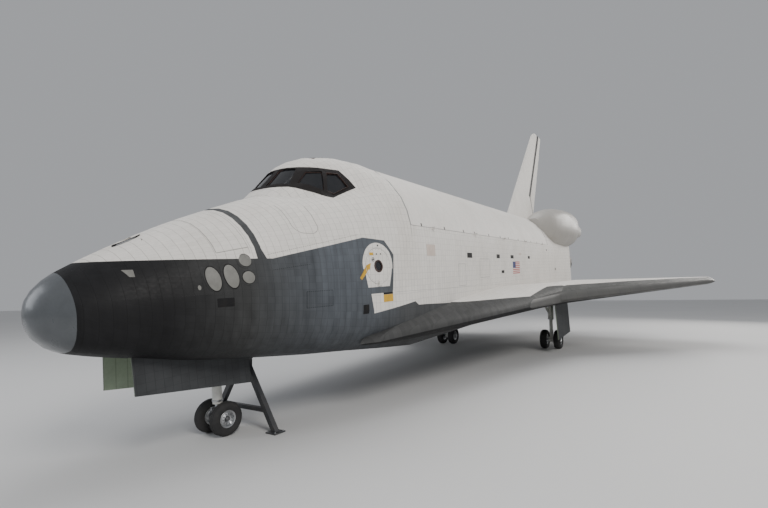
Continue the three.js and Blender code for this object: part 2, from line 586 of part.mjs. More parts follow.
// usual thickness of a round-nosed wing section at a share of its chord, 1 at its thickest
const thicknessForm = (s) => (
  2.969 * Math.sqrt(s) - 1.26 * s - 3.516 * s ** 2 + 2.843 * s ** 3 - 1.036 * s ** 4
);
// long inboard sections are slim ahead of the wing box
const slimness = (s, y) => (y < GLOVE_END ? 0.5 + 0.5 * Math.min(1, s / 0.42) : 1);
const CHORD = [0, 0.004, 0.014, 0.035, 0.07, 0.12, 0.19, 0.28, 0.38, 0.5, 0.62, 0.74, 0.86, 1];
const UPPER = 1.44;           // shares of the half thickness above and below the reference
const LOWER = 0.56;
function wingLoop(y, rise = 0) {
  const [le, te, t] = [leadingEdge(y), trailingEdge(y), wingThick(y)];
  const z = wingRef(y) + rise;
  const sHinge = (HINGE_X - le) / (te - le);
  const form = (s) => t * 0.5 * thicknessForm(s) * slimness(s, y);
  const meet = elevonR(y) / form(sHinge);
  const row = (s, up) => {
    const ease = THREE.MathUtils.smoothstep(s, sHinge * 0.45, sHinge);
    const h = form(s) * (1 + (meet - 1) * ease) + (s > 0 ? 0.3 : 0);
    return at(le + (te - le) * s, y, z + (up ? UPPER * h : -LOWER * h));
  };
  return [...CHORD.map((s) => row(s, true)), ...CHORD.slice(1).reverse().map((s) => row(s, false))];
}
const WING_Y = [90, 104, 130, 160, 188, 200, 226, 270, 320, 380, 456];
const LAST_Y = WING_Y[WING_Y.length - 1];
function tipLoop(y, k) {
  const base = wingLoop(LAST_Y);
  const mid = base.reduce((s, p) => s + p[2], 0) / base.length;
  const shift = (leadingEdge(y) - leadingEdge(LAST_Y)) * IN * 0.9;
  return base.map(([x, , z]) => [x + shift, y * IN, mid + (z - mid) * k + (wingRef(y) - wingRef(LAST_Y)) * IN]);
}
const wingWith = (rise) => WING_Y.map((y) => wingLoop(y, rise));
const wingFull = loft([...wingWith(0), tipLoop(463, 0.8), tipLoop(467, 0.5), tipLoop(WING_TIP, 0.2)]);

// elevons, and the cove they turn in, as wide as their travel needs
function elevonLoop(y) {
  const [z, r] = [hingeZ(y), elevonR(y)];
  const nose = Array.from({ length: 11 }, (_, i) => rad(90 + 18 * i))
    .map((a) => [HINGE_X + r * Math.cos(a), z + r * Math.sin(a)]);
  const te = trailingEdge(y);
  return [...nose, [te, wingRef(y) - 0.5], [te, wingRef(y) + 0.5]].map(([x, zz]) => at(x, y, zz));
}
const COVE_REACH = 190;
const cove = loft([80, HINGE_LINE.yIn, 300, 475].map((y) => {
  const [z, r] = [hingeZ(y), elevonR(y) + RUN];
  const [a0, a1] = [90 + ELEVON.up, 270 - ELEVON.down];
  const arc = Array.from({ length: 10 }, (_, i) => rad(a0 + ((a1 - a0) * i) / 9))
    .map((a) => [r * Math.cos(a), r * Math.sin(a)]);
  const far = ([u, v], a) => [u + COVE_REACH * Math.cos(rad(a)), v + COVE_REACH * Math.sin(rad(a))];
  const outline = [...arc, far(arc[9], -ELEVON.down), far(arc[0], ELEVON.up)];
  return outline.map(([u, v]) => at(HINGE_X + u, y, z + v));
}));
const hingeDirection = [0, HINGE_LINE.yOut - HINGE_LINE.yIn, HINGE_LINE.zOut - HINGE_LINE.zIn];
const ELEVON_LUGS = { inner: [165, 265], outer: [350, 430] };
function elevonHinge(y) {
  const [z, r] = [hingeZ(y), elevonR(y)];
  const half = 1;
  const root = HINGE_X - r - 5;
  const arm = side([[root, z - 3], [HINGE_X, z - 1.8], [HINGE_X, z + 1.8], [root, z + 3]], y - half, y + half);
  return lugHinge([HINGE_X, y, z], hingeDirection, { half, lugR: 2, slotR: r + 0.5, pinR: 0.6, reach: 2 }, arm);
}
const elevonHinges = { inner: ELEVON_LUGS.inner.map(elevonHinge), outer: ELEVON_LUGS.outer.map(elevonHinge) };
function elevon(which) {
  const [y0, y1] = ELEVON[which];
  return cut(loft([y0, (y0 + y1) / 2, y1].map(elevonLoop)), ...elevonHinges[which].map((h) => h.room));
}

const EDGE = { start: 165, depth: 13 };
function edgeOutline(gap) {
  const ys = [EDGE.start, 175, GLOVE_END, 200, 300, 400, 475];
  const y = (v) => v + (v === EDGE.start ? -gap : 0);
  const depth = (v) => EDGE.depth + Math.max(0, GLOVE_END - v) * 0.35;
  return [
    ...ys.map((v) => [leadingEdge(v) - 60, y(v)]),
    ...ys.slice().reverse().map((v) => [leadingEdge(v) + depth(v) + gap, y(v)]),
  ];
}
const MAIN_WELL = { x0: 1062, x1: 1196, y0: 112, y1: 166, z: 303 };
const mainWell = block(MAIN_WELL.x0, MAIN_WELL.x1, MAIN_WELL.y0, MAIN_WELL.y1, 240, MAIN_WELL.z);
const wingRight = join(
  cut(wingFull, outer, cove, plan(edgeOutline(FIT), 200, 400), mainWell),
  ...[...elevonHinges.inner, ...elevonHinges.outer].map((h) => h.lug),
);
const edgeRight = cut(common(wingFull, plan(edgeOutline(0), 200, 400)), outer);

// Fin and rudder
const finTe = (z) => FIN.tipTeX - (FIN.tipZ - z) * Math.tan(rad(26.25));
// swept leading edge, its upper corner rounded off
const finLe = (z) => FIN.rootX + (z - FIN.rootZ) + FIN.soft * Math.max(0, z - FIN.cornerZ) ** 2;
const FIN_FORM = [
  // share of the chord, share of the half thickness
  [0, 0], [0.012, 0.2], [0.04, 0.36], [0.12, 0.56], [0.3, 0.84], [0.5, 0.97], [0.6, 1], [0.75, 0.66], [1, 0.08],
];
function finLoop(z, slim = 1) {
  const [a, b] = [finLe(z), finTe(z)];
  const c = b - a;
  const h = FIN.halfThick * c * slim;
  return [
    ...FIN_FORM.map(([s, k]) => at(a + c * s, h * k, z)),
    ...FIN_FORM.slice(1).reverse().map(([s, k]) => at(a + c * s, -h * k, z)),
  ];
}
const FIN_FOOT = 470;         // level of the fin's lowest section, inside the fuselage
const finFull = loft([
  ...[FIN_FOOT, FIN.cornerZ, 800, 806].map((z) => finLoop(z)),
  finLoop(811, 0.8),
  finLoop(FIN.tipZ, 0.4),
]);
// rudder hinge line, from low to high, and the way the panels trail
const RUDDER = { low: 576, high: 777, at: 0.6, core: 0.68, open: 49.3, turn: 27.1, end: 0.6 };
const finHinge = (z) => new THREE.Vector3(finLe(z) + RUDDER.at * (finTe(z) - finLe(z)), 0, z);
const H0 = finHinge(RUDDER.low);
const H1 = finHinge(RUDDER.high);
const rudderDir = H1.clone().sub(H0).normalize();
const trail = new THREE.Vector3(rudderDir.z, 0, -rudderDir.x);
const span = H1.distanceTo(H0);
const onAxis = (s) => H0.clone().addScaledVector(rudderDir, s);
function rudderStation(s) {
  const p = onAxis(s);
  // distance along `trail` to the trailing edge of the fin
  let d = 40;
  for (let i = 0; i < 30; i += 1) {
    const q = p.clone().addScaledVector(trail, d);
    d += (finTe(q.z) - q.x) * 0.8;
  }
  return { p, d, r: FIN.halfThick * (finTe(p.z) - finLe(p.z)) * 0.985 };
}
// outline in the plane across the hinge line: U along the trail, V to starboard
const across = (p, outline) => outline.map(([u, v]) => {
  const q = p.clone().addScaledVector(trail, u);
  return at(q.x, v, q.z);
});
const arcPoints = (r, a0, a1, n) => Array.from({ length: n + 1 }, (_, i) => rad(a0 + ((a1 - a0) * i) / n))
  .map((a) => [r * Math.cos(a), r * Math.sin(a)]);
const CORE_STEPS = 10;
const CORE_ARC = [118, 12];
function rudderLoop(s) {
  const { p, d, r } = rudderStation(s);
  const core = r * RUDDER.core;
  return across(p, [
    ...arcPoints(core, ...CORE_ARC, CORE_STEPS),
    [core * Math.cos(rad(CORE_ARC[1])) + 0.6, 0.25], [d, 0.25], [d, 1.15], [0.06 * d, r * 0.985],
    ...arcPoints(r, 90, 118.5, 3),
  ]);
}
const rudderRight = loft([RUDDER.end, span / 2, span - RUDDER.end].map(rudderLoop));
const coreFlat = Math.cos(rad((CORE_ARC[0] - CORE_ARC[1]) / CORE_STEPS / 2));
const postR = (s) => rudderStation(s).r * RUDDER.core * coreFlat - FIT;
const SPIGOT = { r: 1, long: 4, sides: 10 };
const postPart = (s0, s1, r0, r1, sides) => bar(onAxis(s0).toArray(), onAxis(s1).toArray(), r0, r1, sides);
const rudderPost = join(
  postPart(0.5, span - 0.5, postR(0.5), postR(span - 0.5), 24),
  postPart(-SPIGOT.long, span + SPIGOT.long, SPIGOT.r, SPIGOT.r, SPIGOT.sides),
);
const spigotEnds = [-SPIGOT.long - 0.3, span + SPIGOT.long + 0.3].map((s) => onAxis(s).toArray());
const spigotHole = bore(...spigotEnds, SPIGOT.r, SPIGOT.sides);
// room for a panel at full rudder and full speed brake together
const rudderRoom = loft([0, span].map((s) => {
  const { p, d, r } = rudderStation(s);
  const turn = RUDDER.open + RUDDER.turn;
  const arc = arcPoints(r + RUN, 90 + turn, 270 - turn, 4);
  const far = ([u, v], a) => [u + 60 * Math.cos(rad(a)), v + 60 * Math.sin(rad(a))];
  return across(p, [...arc, far(arc[4], -turn), [d + 60, -90], [d + 60, 90], far(arc[0], turn)]);
}));
const fin = cut(finFull, outer, rudderRoom, spigotHole, bellRooms[0]);

// Engine pods
const POD = [
  // X, centre Y, centre Z, half width, half height
  [1309, 64, 475, 18, 16], [1322, 69, 473.5, 29, 28], [1338, 74, 471.5, 37, 38], [1360, 79, 471, 42.5, 45],
  [1395, 85, 471.5, 48, 51.5], [1440, 91, 470.8, 52.5, 54.3], [1485, 95, 469.5, 54.5, 55],
  [1515, 97, 468.5, 53, 53.5], [1534, 98, 468, 47, 48],
];
const POD_THRUSTERS = [
  [1496, 132, 466, 10, 14], [1512, 136, 463, 13, 18], [1558, 138, 461, 12, 17], [1566, 138, 461, 9, 14],
];
const POD_SIDES = 22;
const podLoop = ([x, cy, cz, w, h]) => Array.from({ length: POD_SIDES }, (_, i) => {
  const a = (i / POD_SIDES) * Math.PI * 2;
  const soft = (v) => Math.sign(v) * Math.abs(v) ** 0.85;
  return at(x, cy + w * soft(Math.cos(a)), cz + h * soft(Math.sin(a)));
});
const podMouth = [[1528, 92, 490], [0.95, 0.11, 0.26]];
const POD_ROOM = -22;         // bottom of the pod engine's recess, along its axis
const podNozzleRoom = turned([[0, POD_ROOM], [13, POD_ROOM], [24, 4], [24, 40], [0, 40]], ...podMouth, 20);
const podNozzle = turned([
  [0, POD_ROOM + FIT], [5, POD_ROOM + FIT], [5, -14], [9, -4], [14, 10], [18, 24], [21, 40],
  [20, 40], [17, 24], [13, 10], [8, -4], [0, -6],
], ...podMouth, 18);
const finGap = block(1250, 1600, -18, 18, 480, 620);
const podShell = join(loft(POD.map(podLoop)), loft(POD_THRUSTERS.map(podLoop)));
const podRight = cut(podShell, outer, podNozzleRoom, finGap);

// Landing gear
const RIM = 0.52;             // radius of the wheel rim as a share of the tyre's
const AXLE = 0.13;            // radius of the axle as a share of the tyre's
const AXLE_SIDES = 16;
const WHEEL_SIDES = 18;
function tyre(x, y, z, { tyreR: r, tyreW: w }) {
  const h = w / 2;
  return turned([
    [r * RIM, -h * 0.72], [r * 0.76, -h], [r * 0.93, -h * 0.8], [r, -h * 0.32],
    [r, h * 0.32], [r * 0.93, h * 0.8], [r * 0.76, h], [r * RIM, h * 0.72],
  ], [x, y, z], [0, 1, 0], WHEEL_SIDES);
}
function axle(y, { x, hub, tyreR: r, tyreW: w, half }) {
  const rim = r * RIM - FIT;
  const wheel = (c) => turned([
    [0, -w * 0.22], [rim * 0.74, -w * 0.22], [rim * 0.82, -w * 0.36], [rim, -w * 0.36],
    [rim, w * 0.36], [rim * 0.82, w * 0.36], [rim * 0.74, w * 0.22], [0, w * 0.22],
  ], [x, y + c, hub], [0, 1, 0], WHEEL_SIDES);
  const axle = bar([x, y - half, hub], [x, y + half, hub], r * AXLE, r * AXLE, AXLE_SIDES);
  return join(axle, wheel(-half), wheel(half));
}
function axleBore(y, long, { x, hub, tyreR: r }) {
  return bore([x, y - long, hub], [x, y + long, hub], r * AXLE, AXLE_SIDES);
}

const ng = NOSE_GEAR;
const PISTON = { r: 2.43, sides: 18, top: 247.4, sleeve: 240 };
const noseFork = cut(
  join(
    bar([ng.x, 0, ng.hub + 2.6], [ng.x, 0, PISTON.top], PISTON.r, PISTON.r, PISTON.sides),
    bar([ng.x, -4.4, ng.hub], [ng.x, 4.4, ng.hub], 4.2, 4.2, 18),
    block(ng.x - 7, ng.x - 2, -1.2, 1.2, ng.hub + 8, ng.hub + 11),
  ),
  axleBore(0, 10, ng),
);
const noseLeg = cut(
  join(
    bar([ng.x, 0, PISTON.sleeve], [ng.x, 0, 318], 4.4, 4.4, 20),
    bar([ng.x, 0, 262], [ng.x + 18, 0, 314], 1.8, 1.8, 8),
    ...[-8, 8].map((y) => bar([ng.x, 0, 256], [ng.x - 40, y, 308], 1.6, 1.6, 8)),
    bar([ng.x, -NOSE_WELL.half + FIT, 312], [ng.x, NOSE_WELL.half - FIT, 312], 3, 3, 12),
  ),
  bore([ng.x, 0, PISTON.sleeve - 10], [ng.x, 0, PISTON.top + 0.6], PISTON.r, PISTON.sides),
);
const doorRow = (x, rows) => rows.map(([y, z]) => at(x, y, z));
// X and the level of the lower edge, which runs along the belly
const NOSE_DOOR = [[NOSE_WELL.x0 + 0.5, 271.5], [345, 264.5], [NOSE_WELL.x1 - 2, 257.5]];
const noseDoor = cut(
  loft(NOSE_DOOR.map(([x, low]) => doorRow(x, [[19.8, 316], [21, 316], [24.4, low], [23.2, low]]))),
  outer,
);

const mg = MAIN_GEAR;
const mainLeg = cut(
  join(
    bar([mg.x, mg.y, mg.hub + 4], [mg.x, mg.y, 246], 4.2, 4.2, 14),
    bar([mg.x, mg.y, 232], [mg.x, mg.y, 296], 6.6, 6.6, 16),
    bar([mg.x, mg.y - 5.4, mg.hub], [mg.x, mg.y + 5.4, mg.hub], 6.2, 6.2, 16),
    ...[-10, 10].map((y) => bar([mg.x, mg.y, 240], [mg.x - 62, mg.y + y, 292], 2.6, 2.6, 8)),
    bar([mg.x, MAIN_WELL.y0 + FIT, 290], [mg.x, MAIN_WELL.y1 - FIT, 290], 4, 4, 12),
  ),
  axleBore(mg.y, 12, mg),
);
const MAIN_DOOR = [[166.4, 290], [168.2, 290], [174, 200], [172.2, 200]];     // corners [Y, Z]
const mainDoor = cut(
  loft([MAIN_WELL.x0 + 2, 1129, MAIN_WELL.x1 - 2].map((x) => doorRow(x, MAIN_DOOR))),
  loft(wingWith(-FIT)),
);

// Nose stand
// built level on the floor, so it is turned back before the stance is applied
const STAND = { x: 178, top: 72, foot: 46, plate: 1.2, pad: 13, leg: 5, tie: 20 };
const levelBlock = (x, y, z, dx, dy, dz) => fromGeometry(
  new THREE.BoxGeometry(dx * IN, dy * IN, dz * IN).translate(x * IN, y * IN, z * IN),
);
function levelTube(p, q, w) {
  const a = new THREE.Vector3(...p).multiplyScalar(IN);
  const b = new THREE.Vector3(...q).multiplyScalar(IN);
  const tilt = Math.atan2(b.y - a.y, b.z - a.z);
  const ring = (c) => [[-1, -1], [1, -1], [1, 1], [-1, 1]].map(([u, v]) => (
    [c.x + (u * w * IN) / 2, c.y + (v * w * IN) / (2 * Math.cos(tilt)), c.z]
  ));
  return loft([ring(a), ring(b)]);
}
const noseStand = cut(
  join(
    levelBlock(STAND.x, 0, STAND.top - 7, 7, 18, 8),
    levelBlock(STAND.x, 0, STAND.top - 1, 12, 14, 6),
    levelBlock(STAND.x, 0, STAND.tie, 4, 64, 4),
    ...[-1, 1].flatMap((s) => [
      levelTube([STAND.x, s * 6, STAND.top - 9], [STAND.x, s * STAND.foot, 0.6], STAND.leg),
      levelBlock(STAND.x, s * STAND.foot, STAND.plate / 2, STAND.pad, STAND.pad, STAND.plate),
    ]),
  ).transform(stance.clone().invert().elements),
  outer,
);

// Assembly
const FINISH = {
  // colour, roughness, metalness
  white: [0xe9e7e1, 0.62, 0],
  black: [0x23242a, 0.7, 0],
  grey: [0x6c6f74, 0.5, 0.1],
  edge: [0x8b8d90, 0.5, 0.1],
  glass: [0x10141a, 0.08, 0],
  metal: [0xb9bcc0, 0.35, 0.8],
  bell: [0x55575c, 0.45, 0.7],
  rubber: [0x17181a, 0.85, 0],
  gear: [0xdddcd6, 0.45, 0.1],
  frame: [0x121317, 0.55, 0.2],
  cabin: [0x5d6672, 0.7, 0],
  seat: [0x3a3f48, 0.85, 0],
};
const craft = new THREE.Group();
craft.name = 'orbiter';
function add(name, shape, finish) {
  const m = shape.getMesh();
  const corner = (i) => m.vertProperties[Math.floor(i / 3) * m.numProp + (i % 3)];
  const verts = Float32Array.from({ length: m.numVert * 3 }, (_, i) => corner(i));
  const g = new THREE.BufferGeometry();
  g.setAttribute('position', new THREE.BufferAttribute(verts, 3));
  g.setIndex(new THREE.BufferAttribute(Uint32Array.from(m.triVerts), 1));
  g.applyMatrix4(stance);
  g.computeVertexNormals();
  const [color, roughness, metalness] = FINISH[finish];
  const mesh = new THREE.Mesh(g, new THREE.MeshStandardMaterial({ color, roughness, metalness }));
  mesh.name = name;
  craft.add(mesh);
}
function addPair(name, right, finish) {
  add(`${name}_right`, right, finish);
  add(`${name}_left`, mirror(right), finish);
}

add('nose_cap', noseCap, 'grey');
add('nose_body', noseBody, 'black');
add('rcs_module', rcsModule, 'white');
add('crew_section', crewSection, 'white');
add('windshield', windshield, 'glass');
add('overhead_window', overheadGlass, 'glass');
add('side_hatch', sideHatch, 'white');
add('hatch_window', hatchWindow, 'glass');
add('flight_deck', flightDeck, 'cabin');
add('mid_deck', midDeck, 'cabin');
add('seat_left', seatAt(-22), 'seat');
add('seat_right', seatAt(22), 'seat');
add('mid_fuselage', midFuselage, 'white');
addPair('bay_door', doorRight, 'white');
add('aft_fuselage', aftFuselage, 'white');
ENGINES.forEach((e, i) => add(e.name, bells[i], 'bell'));
add('body_flap', bodyFlap, 'black');
addPair('wing', wingRight, 'white');
addPair('wing_edge', edgeRight, 'edge');
addPair('elevon_inner', elevon('inner'), 'white');
addPair('elevon_outer', elevon('outer'), 'white');
add('fin', fin, 'white');
add('rudder_post', rudderPost, 'metal');
addPair('rudder', rudderRight, 'white');
addPair('engine_pod', podRight, 'white');
addPair('pod_nozzle', podNozzle, 'bell');
add('nose_leg', noseLeg, 'gear');
add('nose_fork', noseFork, 'metal');
add('nose_axle', axle(0, ng), 'metal');
addPair('nose_tyre', tyre(ng.x, ng.half, ng.hub, ng), 'rubber');
addPair('nose_door', noseDoor, 'black');
addPair('main_leg', mainLeg, 'gear');
addPair('main_axle', axle(mg.y, mg), 'metal');
for (const [sideName, s] of [['left', -1], ['right', 1]]) {
  add(`main_tyre_${sideName}_in`, tyre(mg.x, s * (mg.y - mg.half), mg.hub, mg), 'rubber');
  add(`main_tyre_${sideName}_out`, tyre(mg.x, s * (mg.y + mg.half), mg.hub, mg), 'rubber');
}
addPair('main_door', mainDoor, 'white');
add('nose_stand', noseStand, 'frame');

// the origin lies on the floor, under the middle of the bounding box
const box = new THREE.Box3().setFromObject(craft);
const middle = box.getCenter(new THREE.Vector3());
for (const mesh of craft.children) mesh.geometry.translate(-middle.x, -middle.y, -box.min.z);

export default craft;
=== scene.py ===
"""Looks of a winged orbiter on its landing gear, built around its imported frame.

Sizes are in inches at stations of the craft: X aft from a datum ahead of the
nose, Y to starboard, Z up from a datum under the keel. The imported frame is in
metres and stands a few degrees nose down; Stations turns one into the other.
"""

from __future__ import annotations

import json
import logging
import math
import random
from dataclasses import dataclass, field
from enum import Enum
from functools import reduce
from typing import Iterable, Optional, Sequence, Union

import bmesh
import bpy
import numpy as np
from mathutils import Matrix, Vector
from mathutils.bvhtree import BVHTree
from mathutils.kdtree import KDTree

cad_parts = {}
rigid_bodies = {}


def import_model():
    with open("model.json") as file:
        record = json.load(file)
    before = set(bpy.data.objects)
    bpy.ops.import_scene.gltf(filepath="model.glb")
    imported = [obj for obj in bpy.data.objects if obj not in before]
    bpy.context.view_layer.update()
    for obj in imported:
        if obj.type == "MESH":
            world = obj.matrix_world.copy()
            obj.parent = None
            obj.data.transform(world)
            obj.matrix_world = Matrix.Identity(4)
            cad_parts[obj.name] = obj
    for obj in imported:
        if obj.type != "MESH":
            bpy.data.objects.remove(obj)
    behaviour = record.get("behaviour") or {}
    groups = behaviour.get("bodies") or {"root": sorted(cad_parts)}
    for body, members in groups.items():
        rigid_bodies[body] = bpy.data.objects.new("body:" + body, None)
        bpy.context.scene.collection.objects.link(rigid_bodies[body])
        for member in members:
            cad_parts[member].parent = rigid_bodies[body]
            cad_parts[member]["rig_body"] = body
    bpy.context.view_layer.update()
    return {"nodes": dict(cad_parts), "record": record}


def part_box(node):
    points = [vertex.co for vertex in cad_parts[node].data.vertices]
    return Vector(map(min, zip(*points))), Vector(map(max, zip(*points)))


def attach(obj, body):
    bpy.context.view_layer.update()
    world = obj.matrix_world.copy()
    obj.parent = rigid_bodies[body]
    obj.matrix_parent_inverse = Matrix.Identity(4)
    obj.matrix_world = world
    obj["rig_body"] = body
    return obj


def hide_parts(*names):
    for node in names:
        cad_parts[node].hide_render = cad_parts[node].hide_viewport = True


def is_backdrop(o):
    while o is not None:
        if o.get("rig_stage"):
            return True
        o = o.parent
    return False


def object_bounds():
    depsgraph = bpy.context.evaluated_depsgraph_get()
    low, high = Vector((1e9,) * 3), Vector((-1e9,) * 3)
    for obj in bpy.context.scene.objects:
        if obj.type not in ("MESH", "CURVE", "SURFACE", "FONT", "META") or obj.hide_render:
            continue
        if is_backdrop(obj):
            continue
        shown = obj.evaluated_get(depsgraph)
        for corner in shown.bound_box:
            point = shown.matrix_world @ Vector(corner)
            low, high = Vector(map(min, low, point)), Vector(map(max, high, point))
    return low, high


log = logging.getLogger("orbiter")

INCH = 0.0254
PORT = -1
STARBOARD = 1
SIDES = ((PORT, "left"), (STARBOARD, "right"))
Point = tuple[float, float, float]
Pair = tuple[float, float]
Colour = tuple[float, float, float]


class Body(str, Enum):
    """Bodies of the frame that new pieces ride on."""

    AIRFRAME = "airframe"
    HATCH = "side_hatch"
    NOSE_WHEELS = "nose_wheels"


class Slot(str, Enum):
    """Material slots of the record."""

    METAL = "bare_metal"
    BELL = "bell_metal"
    BLACK = "black_tile"
    CABIN = "cabin_panel"
    DOOR = "door_blanket"
    GEAR = "gear_paint"
    GLASS = "glass"
    GREY = "grey_door"
    NOSE = "nose_carbon"
    SEAT = "seat_fabric"
    STAND = "stand_paint"
    RUBBER = "tyre_rubber"
    WHITE = "white_tile"
    EDGE = "wing_carbon"


@dataclass
class Stations:
    """Turns stations in inches into the frame's metres."""

    tilt: float = math.radians(3.5)
    deck_front: float = 450.0
    deck_low: float = 419.0
    deck_top: float = 422.0
    origin: Vector = field(default_factory=Vector)

    def settle(self) -> None:
        """Finds where station zero lies, from the corners of the flight deck."""
        low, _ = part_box("flight_deck")
        top = self.turn(self.deck_front, 0.0, self.deck_top)
        front = self.turn(self.deck_front, 0.0, self.deck_low)
        self.origin = Vector((low.x - top.x * INCH, 0.0, low.z - front.z * INCH))

    def turn(self, x: float, y: float, z: float) -> Vector:
        """Turns a station direction into the frame's; keeps its length."""
        c, s = math.cos(self.tilt), math.sin(self.tilt)
        return Vector((c * x - s * z, y, s * x + c * z))

    def at(self, x: float, y: float, z: float) -> Vector:
        """Gives the frame's point, in metres, of a station point."""
        return self.origin + self.turn(x, y, z) * INCH

    def back(self, point: Vector) -> Vector:
        """Gives the station point of a point of the frame."""
        d = (point - self.origin) / INCH
        c, s = math.cos(self.tilt), math.sin(self.tilt)
        return Vector((c * d.x + s * d.z, d.y, c * d.z - s * d.x))


ST = Stations()


# Shader helpers


class Num:
    """A number that varies over a surface: one output of a shader's nodes."""

    def __init__(self, shader: "Shader", socket: bpy.types.NodeSocket) -> None:
        """Keeps the shader and the socket."""
        self.shader = shader
        self.socket = socket

    def __add__(self, other: "Value") -> "Num":
        """Sum."""
        return self.shader.math("ADD", self, other)

    def __sub__(self, other: "Value") -> "Num":
        """Difference."""
        return self.shader.math("SUBTRACT", self, other)

    def __rsub__(self, other: float) -> "Num":
        """Difference from a plain number."""
        return self.shader.math("SUBTRACT", other, self)

    def __mul__(self, other: "Value") -> "Num":
        """Product."""
        return self.shader.math("MULTIPLY", self, other)

    def __truediv__(self, other: "Value") -> "Num":
        """Quotient."""
        return self.shader.math("DIVIDE", self, other)

    def __abs__(self) -> "Num":
        """Size without its sign."""
        return self.shader.math("ABSOLUTE", self)

    def __and__(self, other: "Value") -> "Num":
        """Inside both: the lesser of two inside distances."""
        return self.shader.math("MINIMUM", self, other)

    def __or__(self, other: "Value") -> "Num":
        """Inside either: the greater of two inside distances."""
        return self.shader.math("MAXIMUM", self, other)

    def floor(self) -> "Num":
        """Whole part."""
        return self.shader.math("FLOOR", self)

    def fraction(self) -> "Num":
        """Part after the point."""
        return self.shader.math("FRACT", self)

    def wave(self, pitch: float) -> "Num":
        """Gives 0.5 at each whole multiple of a pitch and 0 halfway between."""
        return abs((self / pitch).fraction() - 0.5)

    def spacing(self, pitch: float) -> "Num":
        """Gives the distance to the nearest whole multiple of a pitch."""
        return (0.5 - self.wave(pitch)) * pitch

    def step(self, width: float) -> "Num":
        """Turns an inside distance into 1 inside and 0 outside."""
        return self.shader.math("ADD", self / width, 0.5, clamp=True)

    def line(self, width: float) -> "Num":
        """Turns a distance into a line of that width in inches."""
        return self.shader.math("SUBTRACT", 1.0, abs(self) / width, clamp=True)


Value = Union[Num, float]


